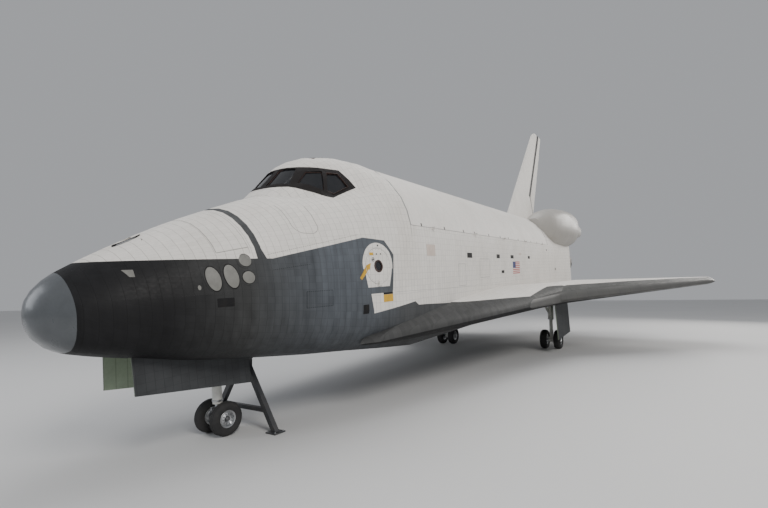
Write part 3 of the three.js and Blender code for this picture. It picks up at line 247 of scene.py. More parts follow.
class Shader:
    """The node tree of one material, with short calls for its nodes."""

    def __init__(self, name: str) -> None:
        """Starts a material with one principled surface.

        Args:
            name: Name of the material.
        """
        self.material = bpy.data.materials.new(name)
        self.material.use_nodes = True
        self.tree = self.material.node_tree
        self.tree.nodes.clear()
        self.surface = self.tree.nodes.new("ShaderNodeBsdfPrincipled")
        out = self.tree.nodes.new("ShaderNodeOutputMaterial")
        self.tree.links.new(self.surface.outputs[0], out.inputs[0])
        self.coords = self.tree.nodes.new("ShaderNodeTexCoord")
        mapping = self.tree.nodes.new("ShaderNodeMapping")
        mapping.vector_type = "TEXTURE"
        mapping.inputs["Location"].default_value = ST.origin
        mapping.inputs["Rotation"].default_value = (0.0, -ST.tilt, 0.0)
        mapping.inputs["Scale"].default_value = (INCH,) * 3
        self.tree.links.new(self.coords.outputs["Object"], mapping.inputs["Vector"])
        self.place = mapping.outputs[0]

    def plug(self, target: bpy.types.NodeSocket, value: object) -> None:
        """Sets a socket to a number, colour, Num or other socket."""
        if isinstance(value, Num):
            self.tree.links.new(value.socket, target)
        elif isinstance(value, bpy.types.NodeSocket):
            self.tree.links.new(value, target)
        elif isinstance(value, tuple) and len(value) == 3 and target.type == "RGBA":
            target.default_value = (*value, 1.0)
        else:
            target.default_value = value

    def math(self, kind: str, a: Value, b: Value = 0.0, clamp: bool = False) -> Num:
        """Gives one math node's result."""
        node = self.tree.nodes.new("ShaderNodeMath")
        node.operation = kind
        node.use_clamp = clamp
        self.plug(node.inputs[0], a)
        self.plug(node.inputs[1], b)
        return Num(self, node.outputs[0])

    def split(self, vector: bpy.types.NodeSocket) -> tuple[Num, Num, Num]:
        """Gives the three parts of a vector."""
        node = self.tree.nodes.new("ShaderNodeSeparateXYZ")
        self.tree.links.new(vector, node.inputs[0])
        return tuple(Num(self, out) for out in node.outputs)

    def join(self, x: Value, y: Value, z: Value) -> bpy.types.NodeSocket:
        """Gives a vector of three parts."""
        node = self.tree.nodes.new("ShaderNodeCombineXYZ")
        for target, part in zip(node.inputs, (x, y, z)):
            self.plug(target, part)
        return node.outputs[0]

    def station(self) -> tuple[Num, Num, Num]:
        """Gives the station of the shaded point, in inches."""
        return self.split(self.place)

    def facing(self) -> tuple[Num, Num, Num]:
        """Gives the surface's normal in its own frame."""
        return self.split(self.coords.outputs["Normal"])

    def mix(self, factor: Value, a: object, b: object) -> bpy.types.NodeSocket:
        """Mixes colour a towards colour b."""
        node = self.tree.nodes.new("ShaderNodeMix")
        node.data_type = "RGBA"
        self.plug(node.inputs[0], factor)
        self.plug(node.inputs[6], a)
        self.plug(node.inputs[7], b)
        return node.outputs[2]

    def scaled(self, colour: object, factor: Value) -> bpy.types.NodeSocket:
        """Multiplies a colour by a number."""
        node = self.tree.nodes.new("ShaderNodeMix")
        node.data_type = "RGBA"
        node.blend_type = "MULTIPLY"
        self.plug(node.inputs[0], 1.0)
        self.plug(node.inputs[6], colour)
        self.plug(node.inputs[7], self.join(factor, factor, factor))
        return node.outputs[2]

    def grooved(self, colour: object, lines: Num, share: float) -> bpy.types.NodeSocket:
        """Darkens a colour along lines by a share."""
        return self.scaled(colour, 1.0 - lines * share)

    def weather(
        self, colour: object, *marks: tuple[Num, float], level: float = 1.0
    ) -> bpy.types.NodeSocket:
        """Lightens and darkens a colour by numbers about one half.

        Args:
            colour: The colour.
            marks: Each number with its share.
            level: What the colour is multiplied by where every number is one half.

        Returns:
            The new colour.
        """
        parts = [(number - 0.5) * share for number, share in marks]
        return self.scaled(colour, reduce(Num.__add__, parts) + level)

    def noise(
        self, size: float, detail: float = 3.0, stretch: Point = (1.0, 1.0, 1.0)
    ) -> Num:
        """Gives soft noise from 0 to 1.

        Args:
            size: Width of a spot in inches.
            detail: Octaves of finer noise.
            stretch: How much longer a spot is along each station axis.

        Returns:
            The noise.
        """
        node = self.tree.nodes.new("ShaderNodeTexNoise")
        place = [part / (size * wide) for part, wide in zip(self.station(), stretch)]
        self.plug(node.inputs["Vector"], self.join(*place))
        node.inputs["Scale"].default_value = 1.0
        node.inputs["Detail"].default_value = detail
        return Num(self, node.outputs[0])

    def chance(self, u: Value, v: Value) -> Num:
        """Gives a fixed random number for each pair of whole numbers."""
        node = self.tree.nodes.new("ShaderNodeTexWhiteNoise")
        self.plug(node.inputs["Vector"], self.join(u, v, 0.0))
        return Num(self, node.outputs[0])

    def along(self, x: Num, points: Sequence[Pair]) -> Num:
        """Gives a broken line's height over x.

        Args:
            x: The number along the line.
            points: Corners of the line, in rising order.

        Returns:
            The height of the line.
        """
        total: Optional[Num] = None
        last = 0.0
        for (x0, y0), (x1, y1) in zip(points, points[1:]):
            slope = (y1 - y0) / (x1 - x0)
            bend = self.math("MAXIMUM", x - x0, 0.0) * (slope - last)
            total = bend if total is None else total + bend
            last = slope
        total = total + self.math("MAXIMUM", x - points[-1][0], 0.0) * -last
        return total + points[0][1]

    def side_of(self, u: Num, v: Num, p: Pair, q: Pair) -> Num:
        """Gives the distance to the left of the line from p to q."""
        du, dv = q[0] - p[0], q[1] - p[1]
        size = math.hypot(du, dv)
        return v * (du / size) - u * (dv / size) + (p[0] * dv - p[1] * du) / size

    def inside(self, u: Num, v: Num, corners: Sequence[Pair]) -> Num:
        """Gives the inside distance of an outline that bulges everywhere.

        Args:
            u: First number of the shaded point.
            v: Second number of the shaded point.
            corners: Corners, anticlockwise.

        Returns:
            The distance, positive inside.
        """
        result: Optional[Num] = None
        for p, q in zip(corners, list(corners[1:]) + [corners[0]]):
            edge = self.side_of(u, v, p, q)
            result = edge if result is None else result & edge
        return result

    def oblong(self, u: Num, v: Num, centre: Pair, half: Pair, corner: float = 0.01) -> Num:
        """Gives the inside distance of a rectangle with round corners."""
        du = self.math("MAXIMUM", abs(u - centre[0]) - (half[0] - corner), 0.0)
        dv = self.math("MAXIMUM", abs(v - centre[1]) - (half[1] - corner), 0.0)
        length = self.math("SQRT", du * du + dv * dv)
        inner = (half[0] - abs(u - centre[0])) & (half[1] - abs(v - centre[1]))
        return (corner - length) & inner

    def disc(self, u: Num, v: Num, centre: Pair, radius: float) -> Num:
        """Gives the inside distance of a circle."""
        du, dv = u - centre[0], v - centre[1]
        return radius - self.math("SQRT", du * du + dv * dv)

    def relief(self, height: Num, depth: float, strength: float = 1.0) -> None:
        """Roughens the surface with a height from 0 to 1.

        Args:
            height: The height.
            depth: Depth of the relief in metres.
            strength: Share of the relief that is used.
        """
        node = self.tree.nodes.new("ShaderNodeBump")
        node.inputs["Distance"].default_value = depth
        node.inputs["Strength"].default_value = strength
        self.plug(node.inputs["Height"], height)
        self.plug(self.surface.inputs["Normal"], node.outputs[0])

    def dress(
        self, colour: object, roughness: Value, metallic: float = 0.0, shine: float = 0.5
    ) -> bpy.types.Material:
        """Sets colour, roughness, metal share and shine, and gives the material."""
        self.surface.inputs["Specular IOR Level"].default_value = shine
        self.plug(self.surface.inputs["Base Color"], colour)
        self.plug(self.surface.inputs["Roughness"], roughness)
        self.surface.inputs["Metallic"].default_value = metallic
        return self.material


# Finishes


@dataclass(frozen=True)
class TileGrid:
    """Square tiles with narrow gaps, by two numbers over the surface."""

    pitch: float = 7.0
    gap: float = 0.34
    lengthwise: float = 0.55

    def lay(self, sh: Shader, u: Num, v: Num) -> tuple[Num, Num]:
        """Lays the tiles.

        Args:
            sh: The shader.
            u: Inches along the tiles.
            v: Inches across the tiles.

        Returns:
            The gap lines, 0 to 1, and one random number for each tile.
        """
        across, along = u.spacing(self.pitch).line(self.gap), v.spacing(self.pitch).line(self.gap)
        lines = across | along * self.lengthwise
        return lines, sh.chance((u / self.pitch).floor(), (v / self.pitch).floor())


@dataclass(frozen=True)
class Slant:
    """A straight edge through a point, seen from the side."""

    at: Pair
    slope: float = 0.0

    def height(self, x: Num) -> Num:
        """Gives its height over x."""
        return (x - self.at[0]) * self.slope + self.at[1]


@dataclass(frozen=True)
class Run:
    """A drawn line along a slant, between two stations."""

    slant: Slant
    ends: Pair
    width: float = 0.4

    def draw(self, x: Num, z: Num) -> Num:
        """Gives the line, 0 to 1."""
        first, last = self.ends
        line = (z - self.slant.height(x)).line(self.width)
        return line * (x - first).step(1.0) * (last - x).step(1.0)


@dataclass(frozen=True)
class Oblong:
    """A rectangle with round corners, seen from the side."""

    centre: Pair
    half: Pair
    corner: float = 1.0

    def inside(self, sh: Shader, x: Num, z: Num) -> Num:
        """Gives its inside distance."""
        return sh.oblong(x, z, self.centre, self.half, self.corner)


@dataclass(frozen=True)
class HullPaint:
    """Colours that the hull finishes share."""

    white: Colour = (0.74, 0.715, 0.675)
    stain: Colour = (0.50, 0.46, 0.41)
    slate: Colour = (0.090, 0.101, 0.116)
    ash: Colour = (0.046, 0.047, 0.047)
    soot: Colour = (0.012, 0.012, 0.013)
    liner: Colour = (0.74, 0.76, 0.72)
    primer: Colour = (0.30, 0.36, 0.27)
    charcoal: Colour = (0.052, 0.055, 0.058)
    band: Colour = (0.010, 0.008, 0.008)
    shine: float = 0.18
    stain_start: float = 0.46

    def pale(self, sh: Shader, smear: Num, share: float = 1.0) -> bpy.types.NodeSocket:
        """Gives the white of the tiles with its soft stains."""
        return sh.mix((smear - self.stain_start) * share, self.white, self.stain)


PAINT = HullPaint()


@dataclass(frozen=True)
class HullSkin:
    """Tiles of the fuselage: pale above, dark below and round the hatch."""

    name: str = "hull_tiles"
    grid: TileGrid = TileGrid()
    wrap_axis: float = 365.0
    wrap_radius: float = 97.0
    relief_depth: float = 0.0022
    dark_nose: Pair = (389.0, 374.0)
    dark_sides: tuple[Pair, ...] = (
        (200, -900), (395, -900), (534, 338.5), (540, 362.7), (538, 378), (524, 393.6),
        (491.6, 395.7), (388, 374), (200, 334.6),
    )
    low_line: tuple[Pair, ...] = (
        (501, 314), (581, 321), (589, 316), (605, 315.4), (666, 311.8), (750, 308), (900, 300),
        (1390, 288), (1530, 286),
    )
    hatch_centre: Pair = (510.6, 366.6)
    hatch_radius: float = 24.0
    hatch_foot: float = 362.0
    hatch_taper: tuple[Pair, ...] = ((493, 342.3), (528, 342.3), (534.4, 367), (486.8, 367))
    sill_edge: tuple[Pair, Pair] = ((497, 335), (501, 314))
    sill_top: float = 335.2
    # The dark band round the windows
    band_falling: Slant = Slant((454.0, 452.2), -0.368)
    band_front: float = 430.0
    band_step: float = 452.6
    band_rising: Slant = Slant((485.0, 440.8), 0.429)
    band_brow: Slant = Slant((470.0, 478.8), -0.035)
    band_rear: Slant = Slant((477.0, 512.0), -0.468)
    # The dark ring behind the nose module, and its flared foot
    ring_x: float = 377.0
    ring_half: float = 2.8
    ring_foot: float = 372.0
    flare: Slant = Slant((383.0, 379.8), -0.3)
    flare_front: float = 374.2
    # Drawn covers and joints
    crown_foot: float = 379.0
    arcs: tuple[Pair, Pair] = ((344.0, 0.5), (369.0, 0.4))
    module_foot: Run = Run(Slant((344.0, 379.0), 0.2), (344.0, 369.0), 0.5)
    tracker: Oblong = Oblong((429.0, 424.0), (12.5, 26.0), 9.0)
    tracker_top: float = 427.0
    service: Oblong = Oblong((431.5, 335.0), (14.5, 7.6), 0.5)
    dotted: tuple[Run, Run] = (
        Run(Slant((388.0, 378.2), 0.2095), (384.0, 486.0), 0.35),
        Run(Slant((388.0, 364.0), 0.12), (386.0, 424.0)),
    )
    bay_ends: Pair = (582.0, 1307.0)
    bay_edge: Run = Run(Slant((582.0, 415.6)), (582.0, 1307.0))
    covers: tuple[Oblong, Oblong] = (
        Oblong((728.0, 350.0), (13.0, 16.5)), Oblong((825.0, 359.0), (23.0, 15.7)),
    )
    pale_rim: Oblong = Oblong((629.0, 385.0), (12.0, 7.5), 0.8)
    strake: Run = Run(Slant((589.0, 334.0), -0.02), (540.0, 980.0))
    # The base wall with its engine recesses: half width and top of each
    base_x: float = 1500.0
    recesses: tuple[Pair, Pair] = ((90.0, 462.0), (24.0, 491.0))
    # The lined payload bay and the nose gear's well
    bay_axis: float = 400.0
    bay_radius: float = 92.3
    bay_half: float = 91.6
    liner_ends: Pair = (585.0, 1304.0)
    well_half: float = 19.6
    well_ends: Pair = (291.9, 399.1)
    well_top: float = 322.2

    def dark_side(self, sh: Shader, x: Num, y: Num, z: Num) -> Num:
        """Gives the inside distance of the dark tiles along the sides."""
        nose = (self.dark_nose[0] - x) & (self.dark_nose[1] - z)
        disc = sh.disc(x, z, self.hatch_centre, self.hatch_radius) & (z - self.hatch_foot)
        hatch = (disc | sh.inside(x, z, self.hatch_taper)) & (y * -1.0)
        sill = sh.side_of(x, z, *self.sill_edge) & (self.sill_top - z)
        side = (sh.inside(x, z, self.dark_sides) | nose) & ((hatch | sill) * -1.0)
        return side | (sh.along(x, self.low_line) - z)

    def window_band(self, x: Num, z: Num) -> Num:
        """Gives the inside distance of the dark band round the windows."""
        low = self.band_rising.height(x) | (self.band_falling.height(x) & self.band_step)
        upright = (z - low) & (self.band_brow.height(x) - z)
        return upright & (self.band_rear.height(z) - x) & (x - self.band_front)

    def module_band(self, x: Num, z: Num) -> Num:
        """Gives the inside distance of the dark ring behind the nose module."""
        above = z - self.ring_foot
        ring = (self.ring_half - abs(x - self.ring_x)) & above
        flare = (self.flare.height(z) - x) & (x - self.flare_front)
        return ring | (flare & (self.flare.at[0] - z) & above)

    def panel_lines(self, sh: Shader, x: Num, z: Num) -> Num:
        """Gives the drawn outlines of covers and joints, 0 to 1."""
        over = (z - self.crown_foot).step(1.0)
        (first, wide), (second, narrow) = self.arcs
        lines = (x - first).line(wide) * over | (x - second).line(narrow) * over * 0.7
        lines = lines | self.module_foot.draw(x, z)
        tracker = self.tracker.inside(sh, x, z).line(0.4)
        lines = lines | tracker * (self.tracker_top - z).step(1.0)
        dashes = (x.wave(2.0) - 0.16).step(0.1)
        upright = abs(x - self.service.centre[0]) - (self.service.half[0] - 1.0)
        solid = (upright * -1.0).step(0.5) * -1.0 + 1.0
        lines = lines | self.service.inside(sh, x, z).line(0.6) * (dashes | solid)
        lines = lines | (self.dotted[0].draw(x, z) | self.dotted[1].draw(x, z)) * dashes
        front, rear = self.bay_ends
        lines = lines | (x - front).line(0.55) * (z - 402.0).step(4.0) | (x - rear).line(0.45)
        lines = lines | self.bay_edge.draw(x, z) | self.strake.draw(x, z) * 0.5
        for cover in self.covers:
            lines = lines | cover.inside(sh, x, z).line(0.45)
        return lines | self.pale_rim.inside(sh, x, z).line(0.4) * 0.6

    def dark_tiles(self, sh: Shader, x: Num, z: Num, runs: Num, luck: Num) -> bpy.types.NodeSocket:
        """Gives the dark tiles' colour: soot at the nose, slate by the hatch, paler slate higher up
        as painted light.

        Args:
            sh: The shader.
            x: Station along the craft.
            z: Station height.
            runs: Fine noise that runs down the side.
            luck: One random number for each tile.

        Returns:
            The colour.
        """
        streak = sh.noise(9.0, 3.0, (1.0, 1.0, 5.0))
        ashen = sh.math("ADD", (x - 305.0) / 65.0, 0.0, clamp=True)
        nearing = sh.along(x, [(362, 0.0), (450, 1.0), (505, 1.0), (560, 0.25), (561, 0.25)])
        # Paler slate towards the top: painted light from above on the dark tiles.
        shade = sh.math("ADD", (z - 268.0) / 70.0, 0.0, clamp=True)
        tone = sh.mix(ashen, PAINT.soot, PAINT.ash)
        tone = sh.mix(nearing * (shade * 0.65 + 0.35), tone, PAINT.slate)
        return sh.weather(tone, (luck, 0.12), (streak, 0.7), (runs, 0.5))

    def lined(self, sh: Shader, colour: object, x: Num, y: Num, z: Num, wrap: Num) -> object:
        """Gives the colour with the quilted bay and the primed gear well laid over it.

        Args:
            sh: The shader.
            colour: The hull's colour.
            x: Station along the craft.
            y: Station across.
            z: Station height.
            wrap: Inches round the hull.

        Returns:
            The new colour.
        """
        high = z - self.bay_axis
        radius = sh.math("SQRT", y * y + high * high)
        bay = (self.bay_radius - radius) | ((self.bay_half - abs(y)) & high)
        bay = bay & (x - self.liner_ends[0]) & (self.liner_ends[1] - x)
        quilt, _ = TileGrid(36.0, 1.0).lay(sh, x, wrap)
        colour = sh.mix(bay.step(0.3), colour, sh.grooved(PAINT.liner, quilt, 0.35))
        well = (self.well_half - abs(y)) & (x - self.well_ends[0]) & (self.well_ends[1] - x)
        return sh.mix((well & (self.well_top - z)).step(0.1), colour, PAINT.primer)

    def make(self) -> bpy.types.Material:
        """Builds the material."""
        sh = Shader(self.name)
        x, y, z = sh.station()
        wrap = sh.math("ARCTAN2", y, z - self.wrap_axis) * self.wrap_radius
        gaps, luck = self.grid.lay(sh, x, wrap)
        (wide, low), (narrow, high) = self.recesses
        recess = ((wide - abs(y)) & (low - z)) | ((narrow - abs(y)) & (high - z))
        base_wall = (x - self.base_x) & ((sh.facing()[0] - 0.7) * 100.0 | recess)
        dark = self.dark_side(sh, x, y, z) | self.module_band(x, z) | base_wall
        black = dark.step(0.3)
        smear = sh.noise(60.0, 5.0, (1.0, 1.0, 2.4))
        runs = sh.noise(5.0, 3.0, (1.0, 1.0, 9.0))
        specks = sh.noise(2.2, 2.0)
        pale = sh.weather(
            PAINT.pale(sh, smear, 1.1), (luck, 0.06), (specks, 0.14), (runs, 0.16)
        )
        tone = self.dark_tiles(sh, x, z, runs, luck)
        colour = sh.mix(black, sh.grooved(pale, gaps, 0.42), sh.grooved(tone, gaps, 0.35))
        colour = sh.mix(self.window_band(x, z).step(0.3), colour, PAINT.band)
        colour = self.lined(sh, colour, x, y, z, wrap)
        lines = self.panel_lines(sh, x, z)
        sh.relief(1.0 - (gaps | lines) + specks * 0.10 + luck * 0.12, self.relief_depth, 0.6)
        rough = (specks - 0.5) * 0.25 + black * -0.06 + 0.60
        return sh.dress(sh.grooved(colour, lines, 0.72), rough, shine=PAINT.shine)


@dataclass(frozen=True)
class DoorSkin:
    """Smooth pale panels of the payload bay doors, bright metal within."""

    name: str = "door_panels"
    axis: float = 400.0
    wrap_radius: float = 103.0
    front: float = 582.0
    panel: float = 145.0
    tube: float = 1.9
    bright: Colour = (0.62, 0.64, 0.66)
    seam: Colour = (0.2, 0.18, 0.16)
    latch_height: float = 417.6
    latch_half: Pair = (1.6, 2.0)
    latches: tuple[float, ...] = (
        610.4, 678.2, 745.8, 791.0, 858.0, 920.4, 970.7, 1037.4, 1088.2, 1140.7, 1194.6, 1254.2,
    )

    def make(self) -> bpy.types.Material:
        """Builds the material."""
        sh = Shader(self.name)
        x, y, z = sh.station()
        high = z - self.axis
        wrap = sh.math("ARCTAN2", y, high) * self.wrap_radius
        quilt, luck = TileGrid(12.0, 0.22).lay(sh, x, wrap)
        seam = (x - self.front).spacing(self.panel).line(0.5)
        smear = sh.noise(70.0, 4.0, (1.0, 1.0, 2.0))
        specks = sh.noise(3.0, 2.0)
        runs = sh.noise(6.0, 3.0, (1.0, 1.0, 8.0))
        pale = sh.weather(PAINT.pale(sh, smear), (luck, 0.04), (specks, 0.10), (runs, 0.12))
        pale = sh.mix(seam * 0.35, sh.grooved(pale, quilt, 0.16), self.seam)
        _, ny, nz = sh.facing()
        inner = ((ny * y + nz * high) * -1.0).step(8.0)
        colour = sh.mix(inner, pale, sh.scaled(self.bright, wrap.wave(self.tube) * 0.5 + 0.75))
        dots = (self.latch_half[1] - abs(z - self.latch_height)) & self.marks(x)
        colour = sh.mix(dots.step(0.3) * (1.0 - inner), colour, PAINT.band)
        sh.relief(1.0 - (quilt | seam) + specks * 0.1, 0.0018, 0.5)
        return sh.dress(colour, 0.58 - inner * 0.25 + (specks - 0.5) * 0.2, shine=0.3)

    def marks(self, x: Num) -> Num:
        """Gives the inside distance of the latch marks along the lower edge."""
        spots = [self.latch_half[0] - abs(x - place) for place in self.latches]
        return reduce(Num.__or__, spots)


@dataclass(frozen=True)
class WingSkin:
    """Wing and elevon tiles: pale above, grey towards the leading edge, black below."""

    name: str = "wing_tiles"
    edge_line: tuple[Pair, ...] = (
        (560, 60), (681, 60), (685, 106), (701, 111.5), (734, 120), (790, 133.5), (856, 148.5),
        (905, 159.4), (1018, 164), (1075.6, 191.2), (1101.9, 217.7), (1127, 245), (1155, 272.5),
        (1185, 300.5), (1238, 358.8), (1311, 434.5), (1340, 470),
    )
    strake_grey: Colour = (0.055, 0.056, 0.056)
    outer_grey: Colour = (0.088, 0.089, 0.086)
    outer_start: float = 915.0
    joint: Colour = (0.08, 0.07, 0.065)
    joints: tuple[Pair, Pair] = ((1181.0, 0.5), (1380.5, 0.4))
    root_joint: float = 167.0
    well_x: Pair = (1061.9, 1196.1)
    well_y: Pair = (111.9, 166.1)
    well_top: float = 303.1
    well_skin: float = 302.8

    def make(self) -> bpy.types.Material:
        """Builds the material."""
        sh = Shader(self.name)
        x, y, z = sh.station()
        y = abs(y)
        nz = sh.facing()[2]
        gaps, luck = TileGrid(7.0, 0.3).lay(sh, x, y)
        specks = sh.noise(2.4, 2.0)
        smear = sh.noise(50.0, 4.0, (2.4, 1.0, 1.0))
        pale = sh.weather(PAINT.pale(sh, smear), (luck, 0.05), (specks, 0.1))
        outer = (x - self.outer_start).step(8.0)
        black = ((nz + 0.12) * -60.0).step(6.0)
        dark = sh.mix(black, sh.mix(outer, self.strake_grey, self.outer_grey), PAINT.soot)
        dark = sh.grooved(sh.weather(dark, (luck, 0.3), (smear, 0.7)), gaps, 0.25)
        forward = (y - sh.along(x, self.edge_line)).step(0.6)
        colour = sh.mix(forward | black, sh.grooved(pale, gaps, 0.34), dark)
        (first, wide), (second, narrow) = self.joints
        lines = (x - first).line(wide) | (y - self.root_joint).line(0.5) | (x - second).line(narrow)
        colour = sh.mix(lines * 0.4, colour, self.joint)
        well = (y - self.well_y[0]) & (self.well_y[1] - y) & (x - self.well_x[0])
        well = well & (self.well_x[1] - x) & (self.well_top - z)
        well = well & ((0.5 - abs(nz)) * 200.0 | (z - self.well_skin) * 50.0)
        colour = sh.mix(well.step(0.1), colour, PAINT.primer)
        sh.relief(1.0 - (gaps | lines) + specks * 0.1 + luck * 0.12, 0.0022, 0.6)
        return sh.dress(colour, (specks - 0.5) * 0.25 + 0.58, shine=PAINT.shine)


@dataclass(frozen=True)
class WellDoorSkin:
    """Doors of the gear wells: dark tiles outside, ribs and primer within."""

    name: str = "well_door_tiles"
    rib_pitch: float = 9.0

    def make(self) -> bpy.types.Material:
        """Builds the material."""
        sh = Shader(self.name)
        x, y, z = sh.station()
        gaps, luck = TileGrid().lay(sh, x, z)
        specks = sh.noise(2.4, 2.0)
        smear = sh.noise(18.0, 4.0)
        tiles = sh.weather(PAINT.charcoal, (luck, 0.14), (smear, 0.6), level=0.95)
        ribs = (x.wave(self.rib_pitch) * self.rib_pitch).line(0.6)
        # Stains and specks, with the rib grooves darkened as painted shade.
        grime_and_rib_shade = (smear - 0.5) * 0.5 + (specks - 0.5) * 0.2 + 1.0 - ribs * 0.3
        outward = (sh.facing()[1] * sh.math("SIGN", y)).step(0.2)
        colour = sh.mix(outward, sh.scaled(PAINT.primer, grime_and_rib_shade), sh.grooved(tiles, gaps, 0.35))
        sh.relief(1.0 - (gaps * outward | ribs * (1.0 - outward)), 0.002, 0.5)
        return sh.dress(colour, (specks - 0.5) * 0.2 + 0.6, shine=0.25)


@dataclass(frozen=True)
class FinSkin:
    """Fin and rudder tiles with a dark seal along the hinge line."""

    name: str = "fin_tiles"
    hinge: Pair = (1495.67, 576.0)
    lean: Pair = (0.5712, 0.8208)
    upright: Pair = (-7.5, 8.5)
    upright_low: float = -2.5
    foot_half: float = 2.6
    foot_front: float = -12.0
    band_pitch: float = 51.0
    seal: Colour = (0.035, 0.034, 0.036)

    def make(self) -> bpy.types.Material:
        """Builds the material."""
        sh = Shader(self.name)
        x, _, z = sh.station()
        along, up = x - self.hinge[0], z - self.hinge[1]
        u = along * self.lean[1] - up * self.lean[0]
        s = along * self.lean[0] + up * self.lean[1]
        gaps, luck = TileGrid(7.0, 0.3).lay(sh, u, s)
        specks = sh.noise(2.6, 2.0)
        smear = sh.noise(45.0, 4.0, (1.0, 1.0, 2.4))
        pale = sh.weather(PAINT.pale(sh, smear), (luck, 0.05), (specks, 0.08))
        middle, half = self.upright
        upright = (half - abs(u - middle)) & (s - self.upright_low)
        foot = (self.foot_half - abs(s)) & (u - self.foot_front)
        bands = s.spacing(self.band_pitch).line(0.5) * 0.35
        lines = bands | (upright | foot).step(0.4)
        sh.relief(1.0 - gaps + specks * 0.1, 0.002, 0.5)
        colour = sh.mix(lines, sh.grooved(pale, gaps, 0.3), self.seal)
        return sh.dress(colour, (specks - 0.5) * 0.2 + 0.56, shine=PAINT.shine)


@dataclass(frozen=True)
class ShellSkin:
    """A smooth painted shell with a few drawn joints and soft stains."""

    name: str
    colour: Colour
    stain: Colour
    roughness: float = 0.5
    coat: float = 0.0
    joints: tuple[float, ...] = ()
    spot: float = 5.0
    grain: float = 0.12
    shine: float = 0.5
    joint: Colour = (0.05, 0.045, 0.04)

    def make(self) -> bpy.types.Material:
        """Builds the material."""
        sh = Shader(self.name)
        x, _, _ = sh.station()
        smear = sh.noise(self.spot, 4.0, (1.0, 1.0, 1.6))
        specks = sh.noise(1.6, 2.0)
        colour = sh.mix((smear - 0.42) * 1.6, self.colour, self.stain)
        colour = sh.weather(colour, (specks, self.grain * 2.0))
        for place in self.joints:
            colour = sh.mix((x - place).line(0.35) * 0.6, colour, self.joint)
        sh.surface.inputs["Coat Weight"].default_value = self.coat
        sh.surface.inputs["Coat Roughness"].default_value = 0.12
        sh.relief(specks + smear, 0.0006, 0.35)
        return sh.dress(colour, (smear - 0.5) * 0.3 + self.roughness, shine=self.shine)


@dataclass(frozen=True)
class EdgeSkin:
    """Grey carbon panels of the wing's leading edge, with their cross joints."""

    name: str = "edge_panels"
    sweep: float = 0.7071
    panel: float = 26.0
    grey: Colour = (0.100, 0.100, 0.096)
    dull: Colour = (0.072, 0.072, 0.072)
    seam: Colour = (0.03, 0.03, 0.03)

    def make(self) -> bpy.types.Material:
        """Builds the material."""
        sh = Shader(self.name)
        x, y, _ = sh.station()
        smear = sh.noise(26.0, 4.0, (1.5, 1.0, 1.0))
        specks = sh.noise(1.2, 2.0)
        run = x * self.sweep + abs(y) * self.sweep
        joint = (run.wave(self.panel) * self.panel).line(0.45)
        colour = sh.weather(sh.mix((smear - 0.4) * 1.5, self.grey, self.dull), (specks, 0.16))
        sh.relief(1.0 - joint + specks * 0.1, 0.003, 0.6)
        colour = sh.mix(joint * 0.6, colour, self.seam)
        return sh.dress(colour, (smear - 0.5) * 0.3 + 0.46, shine=0.3)


@dataclass(frozen=True)
class MetalSkin:
    """Worn metal with a fine drawn grain."""

    name: str
    colour: Colour
    roughness: float = 0.35

    def make(self) -> bpy.types.Material:
        """Builds the material."""
        sh = Shader(self.name)
        smear = sh.noise(6.0, 4.0)
        grain = sh.noise(0.5, 2.0, (1.0, 6.0, 1.0))
        sh.relief(grain, 0.0004, 0.4)
        colour = sh.weather(self.colour, (smear, 0.35), (grain, 0.2))
        return sh.dress(colour, (smear - 0.5) * 0.35 + self.roughness, metallic=1.0)


@dataclass(frozen=True)
class BellSkin:
    """Engine bell: dark metal of many fine tubes that run towards the mouth."""

    name: str = "bell_tubes"
    tubes: float = 180.0
    metal: Colour = (0.17, 0.165, 0.16)
    burnt: Colour = (0.30, 0.26, 0.22)

    def make(self) -> bpy.types.Material:
        """Builds the material."""
        sh = Shader(self.name)
        smear = sh.noise(18.0, 4.0)
        specks = sh.noise(1.4, 2.0)
        turn = sh.split(sh.coords.outputs["UV"])[0]
        ridge = (turn * self.tubes).wave(1.0) * 2.0
        colour = sh.mix((smear - 0.35) * 1.4, self.metal, self.burnt)
        # Brighter on the tube crests and darker between the tubes: painted highlight and painted
        # shade that follow the relief.
        colour = sh.scaled(colour, ridge * 0.35 + (specks - 0.5) * 0.25 + 0.8)
        sh.relief(ridge, 0.012, 0.7)
        return sh.dress(colour, (smear - 0.5) * 0.3 + 0.42, metallic=0.85)


@dataclass(frozen=True)
class RubberSkin:
    """Tyre rubber, dusty at the sides."""

    name: str = "tyre_rubber"
    black: Colour = (0.020, 0.020, 0.021)
    dusty: Colour = (0.060, 0.056, 0.052)

    def make(self) -> bpy.types.Material:
        """Builds the material."""
        sh = Shader(self.name)
        dust = sh.noise(5.0, 4.0)
        sh.relief(sh.noise(0.5, 2.0), 0.0008, 0.6)
        colour = sh.mix((dust - 0.4) * 1.2, self.black, self.dusty)
        return sh.dress(colour, (dust - 0.5) * 0.2 + 0.78)


@dataclass(frozen=True)
class WeaveSkin:
    """Seat cloth with a plain weave."""

    name: str = "seat_cloth"
    colour: Colour = (0.10, 0.11, 0.14)
    thread: float = 0.2

    def make(self) -> bpy.types.Material:
        """Builds the material."""
        sh = Shader(self.name)
        x, y, z = sh.station()
        weave = ((x + z).wave(self.thread) | y.wave(self.thread)) * 2.0
        fade = sh.noise(7.0, 3.0)
        sh.surface.inputs["Sheen Weight"].default_value = 0.3
        sh.relief(weave, 0.0006, 0.7)
        return sh.dress(sh.scaled(self.colour, weave * 0.5 + (fade - 0.5) * 0.4 + 0.7), 0.85)


